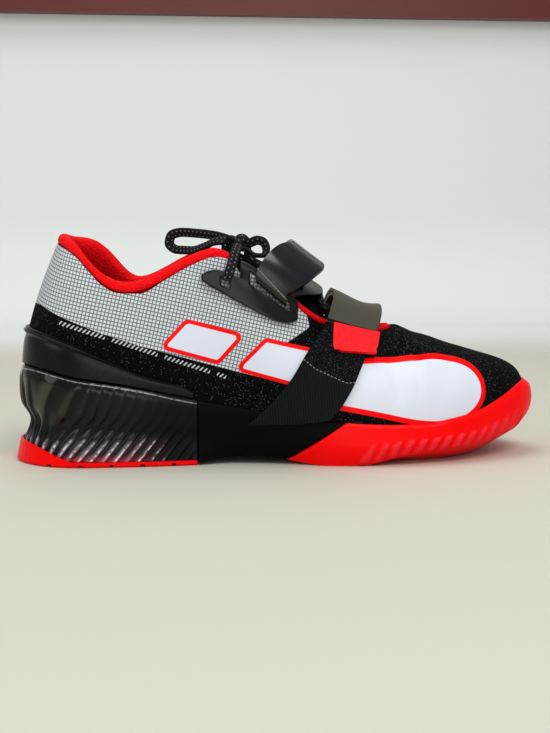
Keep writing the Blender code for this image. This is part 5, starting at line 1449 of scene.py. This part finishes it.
# Stitches
def stitch_tree():
    """Geometry nodes that put one stitch after another along a curve."""
    tree = bpy.data.node_groups.new("stitch_row", "GeometryNodeTree")
    kinds = {
        "Geometry": "NodeSocketGeometry", "Length": FLOAT, "Pitch": FLOAT, "Thickness": FLOAT,
        "Thread": "NodeSocketMaterial",
    }
    names = {
        key: tree.interface.new_socket(name=key, in_out="INPUT", socket_type=kind).identifier
        for key, kind in kinds.items()
    }
    tree.interface.new_socket(name="Geometry", in_out="OUTPUT", socket_type="NodeSocketGeometry")
    n = Nodes(tree)
    given = tree.nodes.new("NodeGroupInput").outputs
    line = n.add(
        "GeometryNodeResampleCurve", {"Curve": given["Geometry"], "Length": given["Pitch"]}, mode="LENGTH",
    )
    bead = n.add("GeometryNodeMeshUVSphere", {"Segments": 8, "Rings": 6, "Radius": 1.0})
    ahead = n.add("GeometryNodeInputTangent")
    turn = n.add("FunctionNodeAlignRotationToVector", {"Vector": ahead}, axis="Z")
    size = n.add("ShaderNodeCombineXYZ", {
        "X": given["Thickness"], "Y": given["Thickness"], "Z": n.times(given["Length"], 0.5),
    })
    spread = n.add("GeometryNodeInstanceOnPoints", {
        "Points": line, "Instance": bead, "Rotation": turn, "Scale": size,
    })
    real = n.add("GeometryNodeRealizeInstances", {"Geometry": spread})
    dyed = n.add("GeometryNodeSetMaterial", {"Geometry": real, "Material": given["Thread"]})
    end = tree.nodes.new("NodeGroupOutput")
    tree.links.new(dyed, end.inputs[0])
    return tree, names


STITCHES, STITCH_INPUTS = stitch_tree()
SEAM_POINTS = 40


def stitches(name, line, slot, length, pitch, thickness):
    """A row of stitches along a line, as one plain mesh."""
    curve = bpy.data.curves.new(name, "CURVE")
    curve.dimensions = "3D"
    spline = curve.splines.new("POLY")
    spline.points.add(len(line) - 1)
    for spot, point in zip(spline.points, line):
        spot.co = (*point, 1.0)
    source = new_object(name + "_line", curve)
    rows = source.modifiers.new("rows", "NODES")
    rows.node_group = STITCHES
    for key, value in (("Length", length), ("Pitch", pitch), ("Thickness", thickness), ("Thread", THREAD)):
        rows[STITCH_INPUTS[key]] = value
    graph = bpy.context.evaluated_depsgraph_get()
    mesh = bpy.data.meshes.new_from_object(source.evaluated_get(graph))
    mesh.name = name
    mesh.shade_smooth()
    bpy.data.objects.remove(source)
    return finished(new_object(name, mesh), slot)


def thrown(name, seen, lift):
    """A line drawn in the side view, thrown onto a piece's lateral side."""
    mesh = bpy.data.objects[name].data
    tree = BVHTree.FromPolygons([v.co for v in mesh.vertices], [tuple(p.vertices) for p in mesh.polygons])
    seen = np.array(seen, dtype=float)
    walk = walked(seen)
    even = np.linspace(0, walk[-1], SEAM_POINTS)
    found = []
    for s, z in zip(np.interp(even, walk, seen[:, 0]), np.interp(even, walk, seen[:, 1])):
        hit, normal, _, _ = tree.ray_cast(Vector((s * MM - ORIGIN_S, -0.15, z * MM)), Vector((0, 1, 0)))
        if hit is not None:
            found.append(hit + (normal if normal.y < 0 else -normal) * lift)
    return found


GLOSS_SEAM = ((135.7, 108.7), (140.7, 103.2), (147.8, 95.5), (155.0, 87.8))
stitches("gloss_seam", thrown("upper_strap", GLOSS_SEAM, 0.0001), "strap_gloss", 0.0021, 0.0020, 0.00022)
stitches("strap_seam", thrown("lower_strap", STITCH_LINE, 0.00005), "webbing", 0.0016, 0.0021, 0.00026)

# Floor, wall and light
HALF_STAGE, STAGE_FRONT, WALL_PLACE, WALL_TOP, WALL_BEND = 2.4, -1.6, 1.1, 2.4, 0.15
SHELF_DEPTH, SHELF_HEIGHT = (1.075, 1.099), (0.436, 0.58)


def stage_piece(name, points, faces, made_of):
    mesh = new_mesh(name, points, faces)
    mesh.materials.append(made_of)
    made = new_object(name, mesh, SCENE.collection)
    return made


def stage_colour(n):
    """The floor's colour, and the wall's behind it."""
    back = n.along(n.add("ShaderNodeTexCoord", out="Object"), (0.0, 1.0, 0.0))
    return n.blend(n.step(back, 0.5, 0.85), tint(203, 201, 187), tint(230, 232, 229))


def stage_sheet():
    """The pale floor, curving up into the wall behind."""
    line = [(STAGE_FRONT, 0.0), (0.85, 0.0)]
    for degrees in range(0, 91, 6):
        a = math.radians(degrees)
        line.append((WALL_PLACE - WALL_BEND * (1 - math.sin(a)), WALL_BEND * (1 - math.cos(a))))
    line.append((WALL_PLACE, WALL_TOP))
    points = [(x, y, z) for y, z in line for x in (-HALF_STAGE, HALF_STAGE)]
    paint = new_material("stage_paint", stage_colour, 0.75)
    stage_piece("stage", points, grid_faces(len(line), 2), paint).data.shade_smooth()


def shelf_edge():
    """The dark wooden edge that crosses the top of the picture, on the wall."""
    y0, y1 = SHELF_DEPTH
    corners = ((-HALF_STAGE, y0), (HALF_STAGE, y0), (HALF_STAGE, y1), (-HALF_STAGE, y1))
    points = [(x, y, z) for z in SHELF_HEIGHT for x, y in corners]
    faces = [(3, 2, 1, 0), (4, 5, 6, 7)] + [(i, (i + 1) % 4, (i + 1) % 4 + 4, i + 4) for i in range(4)]
    stage_piece("shelf_edge", points, faces, new_material("shelf_wood", tint(104, 42, 34), 0.4))


stage_sheet()
shelf_edge()

# Each lamp's place, what it points at, its size and its power
for name, place, target, size, power in (
    ("window", (0.5, -0.9, 1.3), (0.1, 0.0, 0.03), 0.8, 9.5),
    ("ceiling", (-0.2, 0.25, 1.9), (0.1, 0.2, 0.0), 1.4, 10.0),
    ("left_fill", (-1.1, -0.7, 0.7), (0.1, 0.0, 0.05), 0.7, 3.0),
    ("wall_wash", (0.1, 0.2, 1.8), (0.1, 1.1, 0.7), 1.0, 2.6),
    ("front_fill", (0.1, -1.5, 0.45), (0.1, 0.0, 0.06), 0.9, 4.0),
):
    light = bpy.data.lights.new(name, "AREA")
    light.shape, light.size, light.energy = "DISK", size, power
    lamp = new_object(name, light, SCENE.collection)
    lamp.location = place
    lamp.rotation_euler = (Vector(target) - Vector(place)).to_track_quat("-Z", "Y").to_euler()

SKY, SKY_STRENGTH = (0.93, 0.96, 1.0, 1.0), 0.52
world = bpy.data.worlds.new("room")
world.use_nodes = True
air = world.node_tree.nodes["Background"].inputs
air["Color"].default_value = SKY
air["Strength"].default_value = SKY_STRENGTH
SCENE.world = world
